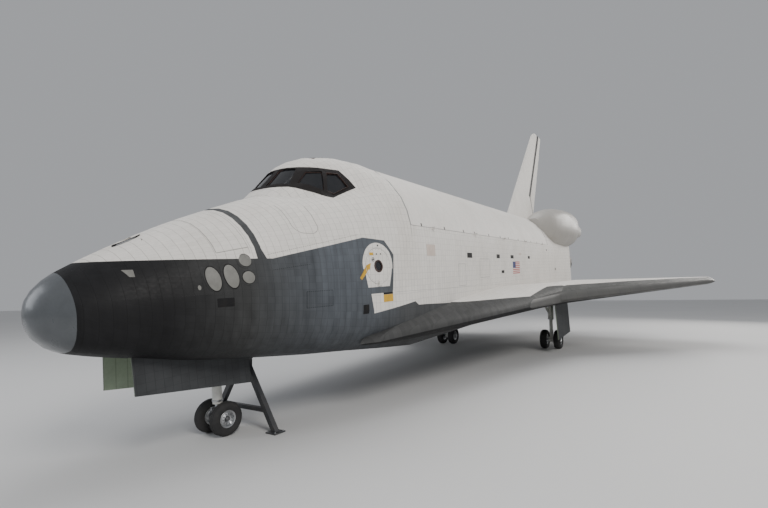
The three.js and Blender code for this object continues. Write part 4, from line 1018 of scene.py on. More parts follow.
@dataclass(frozen=True)
class GlassSkin:
    """Dark window glass with a faint film."""

    name: str = "window_glass"
    clear: Colour = (0.012, 0.014, 0.017)
    filmed: Colour = (0.035, 0.036, 0.040)

    def make(self) -> bpy.types.Material:
        """Builds the material."""
        sh = Shader(self.name)
        film = sh.noise(14.0, 3.0)
        sh.surface.inputs["Transmission Weight"].default_value = 0.35
        sh.surface.inputs["IOR"].default_value = 1.48
        return sh.dress(sh.mix(film, self.clear, self.filmed), film * 0.10 + 0.03)


@dataclass(frozen=True)
class StripeSkin:
    """A striped ensign with a plain dark canton."""

    name: str = "striped_ensign"
    centre: Pair = (1008.0, 358.0)
    half: Pair = (24.0, 12.3)
    stripes: float = 13.0
    canton_share: float = 0.2
    canton_lift: float = -0.8
    pale: Colour = (0.70, 0.67, 0.63)
    red: Colour = (0.45, 0.02, 0.03)
    blue: Colour = (0.030, 0.040, 0.14)

    def make(self) -> bpy.types.Material:
        """Builds the material."""
        sh = Shader(self.name)
        x, _, z = sh.station()
        low = self.centre[1] - self.half[1]
        row = ((z - low) / (2.0 * self.half[1]) * self.stripes * 0.5).fraction()
        cloth = sh.mix(((row - 0.5) * -20.0).step(1.0), self.pale, self.red)
        edge = self.centre[0] - self.half[0] * self.canton_share
        canton = (edge - x) & (z - (self.centre[1] + self.canton_lift))
        cloth = sh.mix(canton.step(0.2), cloth, self.blue)
        fade = sh.noise(5.0, 3.0)
        return sh.dress(sh.weather(cloth, (fade, 0.2)), 0.5, shine=0.15)


class Skin(Enum):
    """The finishes of the craft, each with what makes it."""

    HULL = HullSkin()
    DOOR = DoorSkin()
    WING = WingSkin()
    FIN = FinSkin()
    EDGE = EdgeSkin()
    WELL_DOOR = WellDoorSkin()
    ENSIGN = StripeSkin()
    GLASS = GlassSkin()
    BELL = BellSkin()
    RUBBER = RubberSkin()
    SEAT = WeaveSkin()
    METAL = MetalSkin("worn_metal", (0.52, 0.53, 0.54))
    STEEL = MetalSkin("dark_metal", (0.20, 0.20, 0.205), 0.42)
    POD = ShellSkin(
        "pod_shell", (0.37, 0.355, 0.33), (0.28, 0.262, 0.24), 0.42, 0.1,
        joints=(1352.0, 1440.0, 1512.0), spot=40.0, grain=0.06,
    )
    CAP = ShellSkin(
        "nose_shell", (0.078, 0.086, 0.094), (0.052, 0.057, 0.062), 0.32, 0.2, spot=9.0, grain=0.10,
    )
    FRAME = ShellSkin("window_frame", (0.036, 0.020, 0.017), (0.085, 0.040, 0.032), shine=0.25)
    COVER = ShellSkin(
        "mouth_cover", (0.20, 0.198, 0.183), (0.135, 0.135, 0.127), grain=0.10, shine=0.3,
    )
    TAN = ShellSkin(
        "tan_cover", (0.58, 0.49, 0.43), (0.48, 0.40, 0.35), spot=6.0, grain=0.08, shine=0.2,
    )
    GREY = ShellSkin("cover_grey", (0.20, 0.205, 0.21), (0.12, 0.12, 0.125), spot=6.0, grain=0.10)
    DARK = ShellSkin(
        "cover_dark", (0.016, 0.016, 0.017), (0.030, 0.028, 0.026), 0.6, shine=0.1,
    )
    YELLOW = ShellSkin(
        "marker_yellow", (0.62, 0.37, 0.045), (0.42, 0.24, 0.04), spot=4.0, grain=0.08, shine=0.2,
    )
    GEAR = ShellSkin(
        "gear_paint", (0.70, 0.70, 0.67), (0.46, 0.43, 0.38), 0.42, 0.1, spot=8.0, grain=0.10,
    )
    STAND = ShellSkin(
        "stand_paint", (0.035, 0.037, 0.042), (0.075, 0.07, 0.065), 0.5, 0.1, spot=10.0, grain=0.14,
    )
    CABIN = ShellSkin("cabin_paint", (0.22, 0.26, 0.29), (0.13, 0.15, 0.17), 0.6, spot=8.0)


class Wardrobe:
    """Makes each finish once and hands it out."""

    def __init__(self) -> None:
        """Starts empty."""
        self.made: dict[Skin, bpy.types.Material] = {}

    def give(self, skin: Skin) -> bpy.types.Material:
        """Gives the material of a finish."""
        if skin not in self.made:
            self.made[skin] = skin.value.make()
        return self.made[skin]


WARDROBE = Wardrobe()


# Mesh builders


def turns(count: int) -> list[float]:
    """Gives the angles of a circle's even steps."""
    return [2.0 * math.pi * i / count for i in range(count)]


@dataclass
class Piece:
    """A new piece under construction; its points are given in stations."""

    name: str
    body: str
    slot: Slot
    skin: Skin
    mesh: bmesh.types.BMesh = field(default_factory=bmesh.new)

    def faces(self, points: Sequence[Vector], loops: Iterable[Sequence[int]]) -> None:
        """Adds faces over points that are already in metres."""
        verts = [self.mesh.verts.new(p) for p in points]
        for loop in loops:
            self.mesh.faces.new([verts[i] for i in loop])

    def loft(self, rings: Sequence[Sequence[Vector]], closed: bool = False) -> None:
        """Adds a body through rings of equally many points, in metres.

        Args:
            rings: The rings, in order.
            closed: Whether the last ring joins the first instead of both
                being filled in.
        """
        n = len(rings[0])
        points = [p for ring in rings for p in ring]
        count = len(rings)
        loops = []
        for i in range(count if closed else count - 1):
            for j in range(n):
                k = (i + 1) % count
                loops.append((i * n + j, i * n + (j + 1) % n, k * n + (j + 1) % n, k * n + j))
        if not closed:
            loops.append(tuple(range(n - 1, -1, -1)))
            loops.append(tuple(range((count - 1) * n, count * n)))
        self.faces(points, loops)

    def lathe(self, profile: Sequence[Pair], start: Point, axis: Point, sides: int = 32) -> None:
        """Adds a turned body.

        Args:
            profile: Radius and distance along the axis of each corner. A body
                whose first and last radius aren't 0 closes on itself.
            start: Station point the distances are measured from.
            axis: Station direction of the axis.
            sides: Sides of the turned body.
        """
        axis_v = Vector(axis).normalized()
        across = axis_v.orthogonal().normalized()
        other = axis_v.cross(across)
        hollow = profile[0][0] > 1e-6 and profile[-1][0] > 1e-6
        rings = []
        for radius, along in profile:
            centre = Vector(start) + axis_v * along
            reach = max(radius, 1e-3)
            rings.append([
                ST.at(*(centre + (across * math.cos(a) + other * math.sin(a)) * reach))
                for a in turns(sides)
            ])
        self.loft(rings, hollow)

    def tube(self, path: Sequence[Point], radius: float, sides: int = 12) -> None:
        """Adds a round rod along station points, its corners mitred."""
        points = [Vector(p) for p in path]
        steps = [(b - a).normalized() for a, b in zip(points, points[1:])]
        side = steps[0].orthogonal().normalized()
        rings = []
        for i, p in enumerate(points):
            before = steps[max(i - 1, 0)]
            after = steps[min(i, len(steps) - 1)]
            way = (before + after).normalized()
            side = (side - way * side.dot(way)).normalized()
            other = way.cross(side)
            rings.append([
                ST.at(*(p + (side * math.cos(a) + other * math.sin(a)) * radius))
                for a in turns(sides)
            ])
        self.loft(rings)

    def hoop(self, centre: Point, axis: Point, radius: float, thick: float, sides: int) -> None:
        """Adds a ring of round section about an axis."""
        profile = [(radius + thick * math.cos(a), thick * math.sin(a)) for a in turns(10)]
        self.lathe(profile, centre, axis, sides)

    def block(
        self, centre: Point, size: Point, bevel: float, turn: Optional[Matrix] = None
    ) -> None:
        """Adds a block with round edges.

        Args:
            centre: Station point of its middle.
            size: Its three sizes in inches.
            bevel: Width of its round edges in inches.
            turn: Rotation about its middle, in station directions.
        """
        made = bmesh.ops.create_cube(self.mesh, size=1.0)["verts"]
        spin = turn or Matrix.Identity(3)
        for v in made:
            v.co = Vector(centre) + spin @ Vector(p * s for p, s in zip(v.co, size))
        edges = list(dict.fromkeys(e for v in made for e in v.link_edges))
        out = bmesh.ops.bevel(
            self.mesh, geom=edges, offset=bevel, segments=2, affect="EDGES", profile=0.6
        )
        for v in set(out["verts"]) | {v for v in made if v.is_valid}:
            v.co = ST.at(*v.co)

    def finish(self, replaces: Sequence[str] = (), angle: float = 32.0) -> bpy.types.Object:
        """Closes the piece and fixes it to its body.

        Args:
            replaces: Nodes of the frame that it stands for.
            angle: Edges sharper than this, in degrees, stay sharp.

        Returns:
            The new object.
        """
        bmesh.ops.recalc_face_normals(self.mesh, faces=self.mesh.faces)
        data = bpy.data.meshes.new(self.name)
        self.mesh.to_mesh(data)
        self.mesh.free()
        return settle(self.name, data, self.body, self.skin, replaces, angle)


def settle(
    name: str,
    data: bpy.types.Mesh,
    body: str,
    skin: Skin,
    replaces: Sequence[str] = (),
    angle: float = 32.0,
) -> bpy.types.Object:
    """Makes an object of a mesh, smooths it by angle and fixes it to its body.

    Args:
        name: Name of the piece.
        data: Its mesh.
        body: Body of the frame that it rides on.
        skin: Its finish.
        replaces: Nodes of the frame that it stands for.
        angle: Edges sharper than this, in degrees, stay sharp.

    Returns:
        The new object.
    """
    data.materials.clear()
    data.materials.append(WARDROBE.give(skin))
    data.shade_smooth()
    data.set_sharp_from_angle(angle=math.radians(angle))
    made = bpy.data.objects.new(name, data)
    bpy.context.scene.collection.objects.link(made)
    if replaces:
        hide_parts(*replaces)
    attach(made, body)
    log.info("%s: %d faces on %s", name, len(data.polygons), body)
    return made


class Surface:
    """Finds points on the skin of some frame nodes."""

    def __init__(self, nodes: dict[str, bpy.types.Object], names: Sequence[str]) -> None:
        """Gathers the nodes' triangles."""
        verts: list[Vector] = []
        faces: list[tuple[int, ...]] = []
        self.owners: list[str] = []
        for name in names:
            base = len(verts)
            verts.extend(v.co.copy() for v in nodes[name].data.vertices)
            faces.extend(tuple(base + i for i in p.vertices) for p in nodes[name].data.polygons)
            self.owners.extend(name for _ in nodes[name].data.polygons)
        self.tree = BVHTree.FromPolygons(verts, faces)

    def hit(self, start: Point, way: Point) -> Optional[tuple[Vector, Vector]]:
        """Gives the first point and its outward normal along a station ray."""
        ray = ST.turn(*way).normalized()
        point, normal, _, _ = self.tree.ray_cast(ST.at(*start), ray)
        if point is None:
            return None
        return point, (normal if normal.dot(ray) < 0 else -normal)

    def owner(self, start: Point, way: Point) -> str:
        """Gives the name of the node that a station ray meets first."""
        _, _, index, _ = self.tree.ray_cast(ST.at(*start), ST.turn(*way).normalized())
        return "" if index is None else self.owners[index]


@dataclass(frozen=True)
class Patch:
    """A thin plate that lies on the skin, by its outline seen from the side."""

    name: str
    outline: tuple[Pair, ...]
    skin: Skin
    slot: Slot = Slot.WHITE
    body: str = Body.AIRFRAME.value
    rise: float = 0.14
    mirrored: bool = True
    cell: float = 1.6
    only: str = ""


def rounded(centre: Pair, half: Pair, corner: float = 1.0, count: int = 4) -> tuple[Pair, ...]:
    """Gives the outline of a rectangle with round corners."""
    out = []
    for k, (sx, sz) in enumerate(((1, 1), (-1, 1), (-1, -1), (1, -1))):
        for i in range(count + 1):
            a = math.pi / 2 * (k + i / count)
            out.append(
                (
                    centre[0] + sx * (half[0] - corner) + corner * math.cos(a),
                    centre[1] + sz * (half[1] - corner) + corner * math.sin(a),
                )
            )
    return tuple(out)


def circle(centre: Pair, radius: float, squeeze: float = 1.0, count: int = 24) -> tuple[Pair, ...]:
    """Gives the outline of a circle, or of an oval with squeeze."""
    x, z = centre
    return tuple(
        (x + radius * math.cos(a), z + radius * squeeze * math.sin(a)) for a in turns(count)
    )


@dataclass
class PatchLayer:
    """Lays patches on the skin."""

    surface: Surface
    thin: float = 0.05
    rounds: int = 7

    def lay(self, patch: Patch) -> None:
        """Lays one patch, and its mirror image where it has one."""
        sides = SIDES if patch.mirrored else SIDES[:1]
        for side, word in sides:
            name = f"{patch.name}_{word}" if patch.mirrored else patch.name
            data = self.sheet(patch, side)
            if data is None:
                log.warning("%s finds no skin", name)
                continue
            settle(name, data, patch.body, patch.skin, angle=50.0)

    def sheet(self, patch: Patch, side: int) -> Optional[bpy.types.Mesh]:
        """Builds the patch's mesh: a closed plate that follows the skin."""
        mesh = bmesh.new()
        verts = [mesh.verts.new((x, 0.0, z)) for x, z in patch.outline]
        mesh.faces.new(verts)
        bmesh.ops.triangulate(mesh, faces=mesh.faces[:])
        for _ in range(self.rounds):
            long_edges = [e for e in mesh.edges if e.calc_length() > patch.cell]
            if not long_edges:
                break
            bmesh.ops.subdivide_edges(mesh, edges=long_edges, cuts=1)
            bmesh.ops.triangulate(mesh, faces=mesh.faces[:])
        if patch.only:
            ray = (0.0, -side, 0.0)
            off = {
                v for v in mesh.verts
                if self.surface.owner((v.co.x, side * 400.0, v.co.z), ray) != patch.only
            }
            lost = [f for f in mesh.faces if off & set(f.verts)]
            bmesh.ops.delete(mesh, geom=lost, context="FACES")
        pairs = {}
        for v in mesh.verts:
            found = self.surface.hit((v.co.x, side * 400.0, v.co.z), (0.0, -side, 0.0))
            if found is None:
                mesh.free()
                return None
            pairs[v] = found
        top = {v: mesh.verts.new(p + n * patch.rise * INCH) for v, (p, n) in pairs.items()}
        rim = [e for e in mesh.edges if e.is_boundary]
        for face in list(mesh.faces):
            mesh.faces.new([top[v] for v in face.verts])
        for edge in rim:
            a, b = edge.verts
            mesh.faces.new([a, b, top[b], top[a]])
        for v, (p, n) in pairs.items():
            v.co = p - n * self.thin * INCH
        bmesh.ops.recalc_face_normals(mesh, faces=mesh.faces)
        data = bpy.data.meshes.new(patch.name)
        mesh.to_mesh(data)
        mesh.free()
        return data


# Sub-assemblies


@dataclass
class PhotoView:
    """The camera, at the height and angle of the view it is matched to."""

    datum: Point = (238.0, 0.0, 400.0)
    place_at: Point = (-2.9158, -9.4034, -1.1426)
    azimuth: float = 1.03644
    elevation: float = -0.02797
    roll: float = -0.04549
    focal: float = 429.19
    centre: Pair = (410.61, 285.74)
    size: Pair = (768.0, 508.0)
    sensor: float = 36.0
    reach: float = 400.0

    def place(self) -> None:
        """Sets the camera up."""
        spot = ST.at(*self.datum) + ST.turn(*self.place_at)
        ca, sa = math.cos(self.azimuth), math.sin(self.azimuth)
        ce, se = math.cos(self.elevation), math.sin(self.elevation)
        ahead = Vector((sa * ce, ca * ce, se))
        right = ahead.cross(Vector((0.0, 0.0, 1.0))).normalized()
        up = right.cross(ahead)
        cr, sr = math.cos(self.roll), math.sin(self.roll)
        right, up = right * cr + up * sr, up * cr - right * sr
        ahead, right, up = (ST.turn(*v) for v in (ahead, right, up))
        data = bpy.data.cameras.new("photo_view")
        data.sensor_fit = "HORIZONTAL"
        data.sensor_width = self.sensor
        data.lens = self.focal * self.sensor / self.size[0]
        data.shift_x = (self.size[0] / 2.0 - self.centre[0]) / self.size[0]
        data.shift_y = (self.centre[1] - self.size[1] / 2.0) / self.size[0]
        data.clip_end = self.reach
        camera = bpy.data.objects.new("photo_view", data)
        turned = Matrix((right, up, -ahead)).transposed().to_4x4()
        camera.matrix_world = Matrix.Translation(spot) @ turned
        bpy.context.scene.collection.objects.link(camera)
        bpy.context.scene.camera = camera


Covers = Sequence[tuple[Skin, Sequence[str]]]
CRAFT_COVERS: Covers = (
    (Skin.CAP, ("nose_cap",)),
    (Skin.HULL, ("nose_body", "rcs_module", "crew_section", "side_hatch")),
    (Skin.GLASS, ("hatch_window", "windshield", "overhead_window")),
    (Skin.HULL, ("mid_fuselage", "aft_fuselage")),
    (Skin.DOOR, ("bay_door_left", "bay_door_right")),
    (Skin.WING, ("wing_left", "wing_right")),
    (Skin.EDGE, ("wing_edge_left", "wing_edge_right")),
    (Skin.WING, ("elevon_inner_left", "elevon_inner_right")),
    (Skin.WING, ("elevon_outer_left", "elevon_outer_right", "body_flap")),
    (Skin.FIN, ("fin", "rudder_left", "rudder_right")),
    (Skin.STEEL, ("rudder_post",)),
    (Skin.POD, ("engine_pod_left", "engine_pod_right")),
    (Skin.WELL_DOOR, ("nose_door_left", "nose_door_right", "main_door_left", "main_door_right")),
    (Skin.CABIN, ("mid_deck",)),
)


@dataclass
class SmoothSkin:
    """Smooth shells over nodes of the frame."""

    nodes: dict[str, bpy.types.Object]
    slots: dict[str, Slot]
    weld: float = 0.0002
    reach: float = 0.002
    crease: float = 33.0
    angle: float = 30.0

    def dress(self, covers: Covers) -> None:
        """Copies each node, merges its corners and shades them all as one skin.

        Args:
            covers: The finishes, each with the nodes that wear it.
        """
        made = []
        for skin, names in covers:
            for name in names:
                source = self.nodes[name]
                data = source.data.copy()
                mesh = bmesh.new()
                mesh.from_mesh(data)
                bmesh.ops.remove_doubles(mesh, verts=mesh.verts, dist=self.weld)
                mesh.to_mesh(data)
                mesh.free()
                body, slot = source["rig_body"], self.slots[name]
                piece = settle(f"{name}_skin", data, body, skin, (name,), self.angle)
                made.append(piece.data)
        self.shade(made)

    def shade(self, meshes: Sequence[bpy.types.Mesh]) -> None:
        """Shades shells that touch as if they were one, up to a sharp edge."""
        tree = KDTree(sum(len(m.vertices) for m in meshes))
        around: list[list[Vector]] = []
        for mesh in meshes:
            base = len(around)
            around.extend([] for _ in mesh.vertices)
            for vertex in mesh.vertices:
                tree.insert(vertex.co, base + vertex.index)
            for face in mesh.polygons:
                for i in face.vertices:
                    around[base + i].append(face.normal * face.area)
        tree.balance()
        limit = math.cos(math.radians(self.crease))
        for mesh in meshes:
            near = [
                [n for _, i, _ in tree.find_range(v.co, self.reach) for n in around[i]]
                for v in mesh.vertices
            ]
            normals = [Vector()] * len(mesh.loops)
            for face in mesh.polygons:
                for i in face.loop_indices:
                    total = Vector()
                    for n in near[mesh.loops[i].vertex_index]:
                        if n.dot(face.normal) > limit * n.length:
                            total += n
                    normals[i] = total.normalized() if total.length > 0.0 else face.normal
            mesh.normals_split_custom_set(normals)


@dataclass
class WindowFrames:
    """Frames round the flight deck's windows and the overhead windows."""

    surface: Surface
    section: tuple[Pair, ...] = ((0.06, -1.8), (0.06, 0.35), (0.45, 0.55), (0.9, 0.35), (0.9, -1.8))
    panes: tuple[tuple[tuple[Point, ...], Point], ...] = (
        (
            ((446.5, 3.8, 454.6), (456.7, 28.6, 454.6), (473.5, 23.6, 475.2), (467.5, 3.4, 476.2)),
            (-0.68, 0.25, 0.69),
        ),
        (
            ((463.8, 33.6, 457), (482.8, 53.4, 448.6), (492, 42.8, 472.6), (475.7, 33.6, 471.6)),
            (-0.5, 0.68, 0.53),
        ),
        (
            (
                (485.6, 54.6, 449.6), (490.2, 60.2, 446), (512.4, 63.6, 457), (507.4, 52.4, 473),
                (495.2, 46.6, 472.4),
            ),
            (-0.34, 0.82, 0.46),
        ),
    )
    overhead: tuple[Pair, ...] = ((499.6, 5.6), (516.4, 5.6), (516.4, 24.4), (499.6, 24.4))
    overhead_middle: Pair = (508.0, 15.0)
    overhead_out: Point = (-0.2, 0.12, 0.97)
    overhead_sink: float = 0.1
    margin: float = 1.2

    def build(self) -> None:
        """Builds one frame for each window."""
        for side, word in SIDES:
            for i, (corners, out) in enumerate(self.panes, 1):
                points = [Vector((x, y * side, z)) for x, y, z in corners]
                self.rim(f"window_frame_{i}_{word}", points, out, side)
            points = [self.overhead_corner(x, y, side) for x, y in self.overhead]
            self.rim(f"overhead_frame_{word}", points, self.overhead_out, side)

    def overhead_corner(self, x: float, y: float, side: int) -> Vector:
        """Gives a corner of an overhead window, at the height of the skin beside it."""
        beside_x = x + math.copysign(self.margin, x - self.overhead_middle[0])
        beside_y = y + math.copysign(self.margin, y - self.overhead_middle[1])
        point, _ = self.surface.hit((beside_x, beside_y * side, 900.0), (0.0, 0.0, -1.0))
        return Vector((x, y * side, ST.back(point).z - self.overhead_sink))

    def rim(self, name: str, corners: Sequence[Vector], out: Point, side: int) -> None:
        """Builds a frame along the corners, proud of the skin by a little.

        Args:
            name: Name of the piece.
            corners: Station points of the window's corners.
            out: Station direction out of the window, on the starboard side.
            side: Side of the craft.
        """
        piece = Piece(name, Body.AIRFRAME.value, Slot.GREY, Skin.FRAME)
        way = Vector((out[0], out[1] * side, out[2])).normalized()
        middle = sum(corners, Vector()) / len(corners)
        rings = []
        for share, lift in self.section:
            rings.append([
                ST.at(*(p + (middle - p).normalized() * share + way * lift)) for p in corners
            ])
        piece.loft(rings, True)
        piece.finish()


@dataclass
class Hatch:
    """Fittings of the side hatch: window rim, handle and bolts."""

    surface: Surface
    centre: Pair = (510.5, 365.0)
    out: Point = (-0.1125, -0.99, 0.07)
    window_reach: float = 8.0
    rim: tuple[Pair, ...] = (
        (5.0, -1.2), (5.0, 0.3), (5.5, 0.5), (6.7, 0.45), (7.0, 0.2), (7.0, -0.6),
    )
    handle: Pair = (502.4, 372.3)
    knob: tuple[Pair, ...] = ((0.0, 0.6), (0.5, 0.55), (0.7, 0.3), (0.7, -0.3), (0.0, -0.3))
    bolt: tuple[Pair, ...] = ((0.0, 0.16), (0.22, 0.14), (0.3, 0.02), (0.3, -0.15), (0.0, -0.15))
    bolt_circle: float = 18.3
    bolt_count: int = 24

    def build(self) -> None:
        """Builds the fittings on the hatch."""
        x, z = self.centre
        rim = self.piece("hatch_window_rim", Skin.FRAME)
        fore, aft = self.on_skin(x - self.window_reach, z), self.on_skin(x + self.window_reach, z)
        rim.lathe(self.rim, (x, (fore[1] + aft[1]) / 2.0, z), self.out, 40)
        rim.finish()
        handle = self.piece("hatch_handle", Skin.STEEL)
        hx, hy, hz = self.on_skin(*self.handle)
        handle.hoop((hx, hy - 0.25, hz), self.out, 1.9, 0.28, 32)
        handle.lathe(self.knob, (hx, hy, hz), self.out, 16)
        handle.block((hx, hy - 0.35, hz), (3.4, 0.3, 0.5), 0.12)
        handle.finish()
        bolts = self.piece("hatch_bolts", Skin.STEEL)
        for i in range(self.bolt_count):
            a = 2.0 * math.pi * (i + 0.5) / self.bolt_count
            bx, bz = x + self.bolt_circle * math.cos(a), z + self.bolt_circle * math.sin(a)
            bolts.lathe(self.bolt, self.on_skin(bx, bz), self.out, 8)
        bolts.finish()

    def piece(self, name: str, skin: Skin) -> Piece:
        """Starts a piece that rides on the hatch."""
        return Piece(name, Body.HATCH.value, Slot.METAL, skin)

    def on_skin(self, x: float, z: float) -> Point:
        """Gives the station point of the hatch's skin."""
        point, _ = self.surface.hit((x, -400.0, z), (0.0, 1.0, 0.0))
        return x, ST.back(point).y, z


@dataclass(frozen=True)
class Mount:
    """Where a bell hangs: the station of its gimbal and the way that it points."""

    name: str
    gimbal: Point
    way: Point

    def along(self, distance: float) -> Point:
        """Gives the point of its axis at a distance from the gimbal."""
        return tuple(Vector(self.gimbal) + Vector(self.way) * distance)

    def bell(self, name: str, node: str, profile: Sequence[Pair], sides: int) -> None:
        """Builds a bell, with the share of the turn as its skin's first number.

        Args:
            name: Name of the piece.
            node: Node of the frame that it stands for.
            profile: Radius and distance from the gimbal of each corner.
            sides: Sides of the turned body.
        """
        piece = Piece(name, Body.AIRFRAME.value, Slot.BELL, Skin.BELL)
        piece.lathe(profile, self.gimbal, self.way, sides)
        data = piece.finish((node,), 50.0).data
        layer = data.uv_layers.new(name="turn")
        axis = ST.turn(*self.way).normalized()
        centre = ST.at(*self.gimbal)
        across = axis.orthogonal().normalized()
        other = axis.cross(across)
        for face in data.polygons:
            shares = []
            for i in face.loop_indices:
                arm = data.vertices[data.loops[i].vertex_index].co - centre
                angle = math.atan2(arm.dot(other), arm.dot(across))
                shares.append(angle / (2.0 * math.pi) % 1.0)
            high = max(shares) > 0.75
            for i, share in zip(face.loop_indices, shares):
                layer.data[i].uv = (share + (1.0 if high and share < 0.25 else 0.0), 0.0)


@dataclass
class Engines:
    """Bells of the three main engines, with their bands and pipes."""

    mounts: tuple[tuple[str, Point, float, float], ...] = (
        ("engine_upper", (1445.0, 0.0, 443.0), 16.0, 0.0),
        ("engine_left", (1468.0, -53.0, 342.6), 10.0, -3.5),
        ("engine_right", (1468.0, 53.0, 342.6), 10.0, 3.5),
    )
    outline: tuple[Pair, ...] = (
        (10.0, 55.1), (10.0, 60.0), (13.0, 64.0), (17.4, 73.5), (22.0, 84.0), (26.2, 93.0),
        (30.0, 102.0), (33.7, 112.0), (37.0, 122.0), (39.6, 131.5), (42.0, 141.0), (43.8, 149.0),
        (45.2, 156.2),
    )
    wall: float = 0.9
    throat: float = 70.0
    lip: tuple[Pair, Pair] = ((45.4, 156.9), (44.6, 156.9))
    bands: tuple[float, ...] = (92.0, 104.0, 116.0, 127.0, 137.0, 147.0)
    band: tuple[Pair, ...] = ((-0.3, -0.9), (0.5, -0.7), (0.75, 0.0), (0.5, 0.7), (-0.3, 0.9))
    mouth_band: tuple[Pair, ...] = ((-0.5, -1.2), (0.55, -1.1), (0.55, 0.4), (-0.5, 0.4))
    mouth: Pair = (44.9, 156.0)
    pipe_stops: tuple[float, ...] = (92.5, 104.0, 116.0, 127.0, 137.0, 147.0, 155.0)
    pipe_turns: tuple[float, ...] = (0.7, 2.3, 4.0)
    pipe_radius: float = 0.45

    def radius(self, along: float) -> float:
        """Gives the bell's outer radius at a distance from the gimbal."""
        for (r0, h0), (r1, h1) in zip(self.outline, self.outline[1:]):
            if h0 <= along <= h1:
                return r0 + (r1 - r0) * (along - h0) / (h1 - h0)
        return self.outline[-1][0]

    def build(self) -> None:
        """Builds each bell with its trim."""
        inner = [(r - self.wall, h) for r, h in reversed(self.outline) if h > self.throat]
        profile = [(0.0, 55.1), *self.outline, *self.lip, *inner, (9.0, 71.0), (0.0, 70.0)]
        for name, gimbal, pitch, yaw in self.mounts:
            p, w = math.radians(pitch), math.radians(yaw)
            way = (math.cos(p) * math.cos(w), math.sin(w), math.sin(p))
            mount = Mount(name, gimbal, way)
            mount.bell(f"{name}_bell", name, profile, 72)
            self.trim(mount)

    def trim(self, mount: Mount) -> None:
        """Builds the bands round a bell and the pipes along it."""
        trim = Piece(f"{mount.name}_bands", Body.AIRFRAME.value, Slot.BELL, Skin.STEEL)
        rings = [(self.radius(stop), stop, self.band) for stop in self.bands]
        for radius, stop, section in (*rings, (*self.mouth, self.mouth_band)):
            corners = [(radius + out, high) for out, high in section]
            trim.lathe(corners, mount.along(stop), mount.way, 64)
        side = Vector(mount.way).cross(Vector((0.0, 0.0, 1.0))).normalized()
        up = side.cross(Vector(mount.way)).normalized()
        for a in self.pipe_turns:
            arm = side * math.cos(a) + up * math.sin(a)
            path = [
                tuple(Vector(mount.along(stop)) + arm * (self.radius(stop) + 1.0))
                for stop in self.pipe_stops
            ]
            trim.tube(path, self.pipe_radius, 8)
        trim.finish((), 40.0)


@dataclass
class PodNozzles:
    """Nozzles of the two engine pods."""

    gimbal: Point = (1528.0, 92.0, 490.0)
    way: Point = (0.95, 0.11, 0.26)
    outline: tuple[Pair, ...] = (
        (5.0, -21.9), (5.0, -14.0), (7.2, -8.6), (9.0, -4.0), (11.6, 3.0), (14.0, 10.0),
        (16.2, 17.0), (18.0, 24.0), (19.6, 32.0), (20.8, 39.6),
    )
    wall: float = 0.8
    throat: float = -5.0
    lip: tuple[Pair, Pair] = ((20.9, 39.9), (20.1, 39.9))

    def build(self) -> None:
        """Builds the nozzles, port first."""
        inner = [(r - self.wall, h) for r, h in reversed(self.outline) if h > self.throat]
        profile = [(0.0, -21.9), *self.outline, *self.lip, *inner, (0.0, -6.0)]
        for side, word in SIDES:
            gimbal, way = ((x, y * side, z) for x, y, z in (self.gimbal, self.way))
            Mount(word, gimbal, way).bell(f"pod_bell_{word}", f"pod_nozzle_{word}", profile, 48)


@dataclass(frozen=True)
class Mouth:
    """A mouth in the skin: its middle, half sizes and lean, and where its rim is measured."""

    centre: Pair
    half: Pair
    lean: float = 0.0
    rings: tuple[float, ...] = (1.2, 1.4, 1.6)


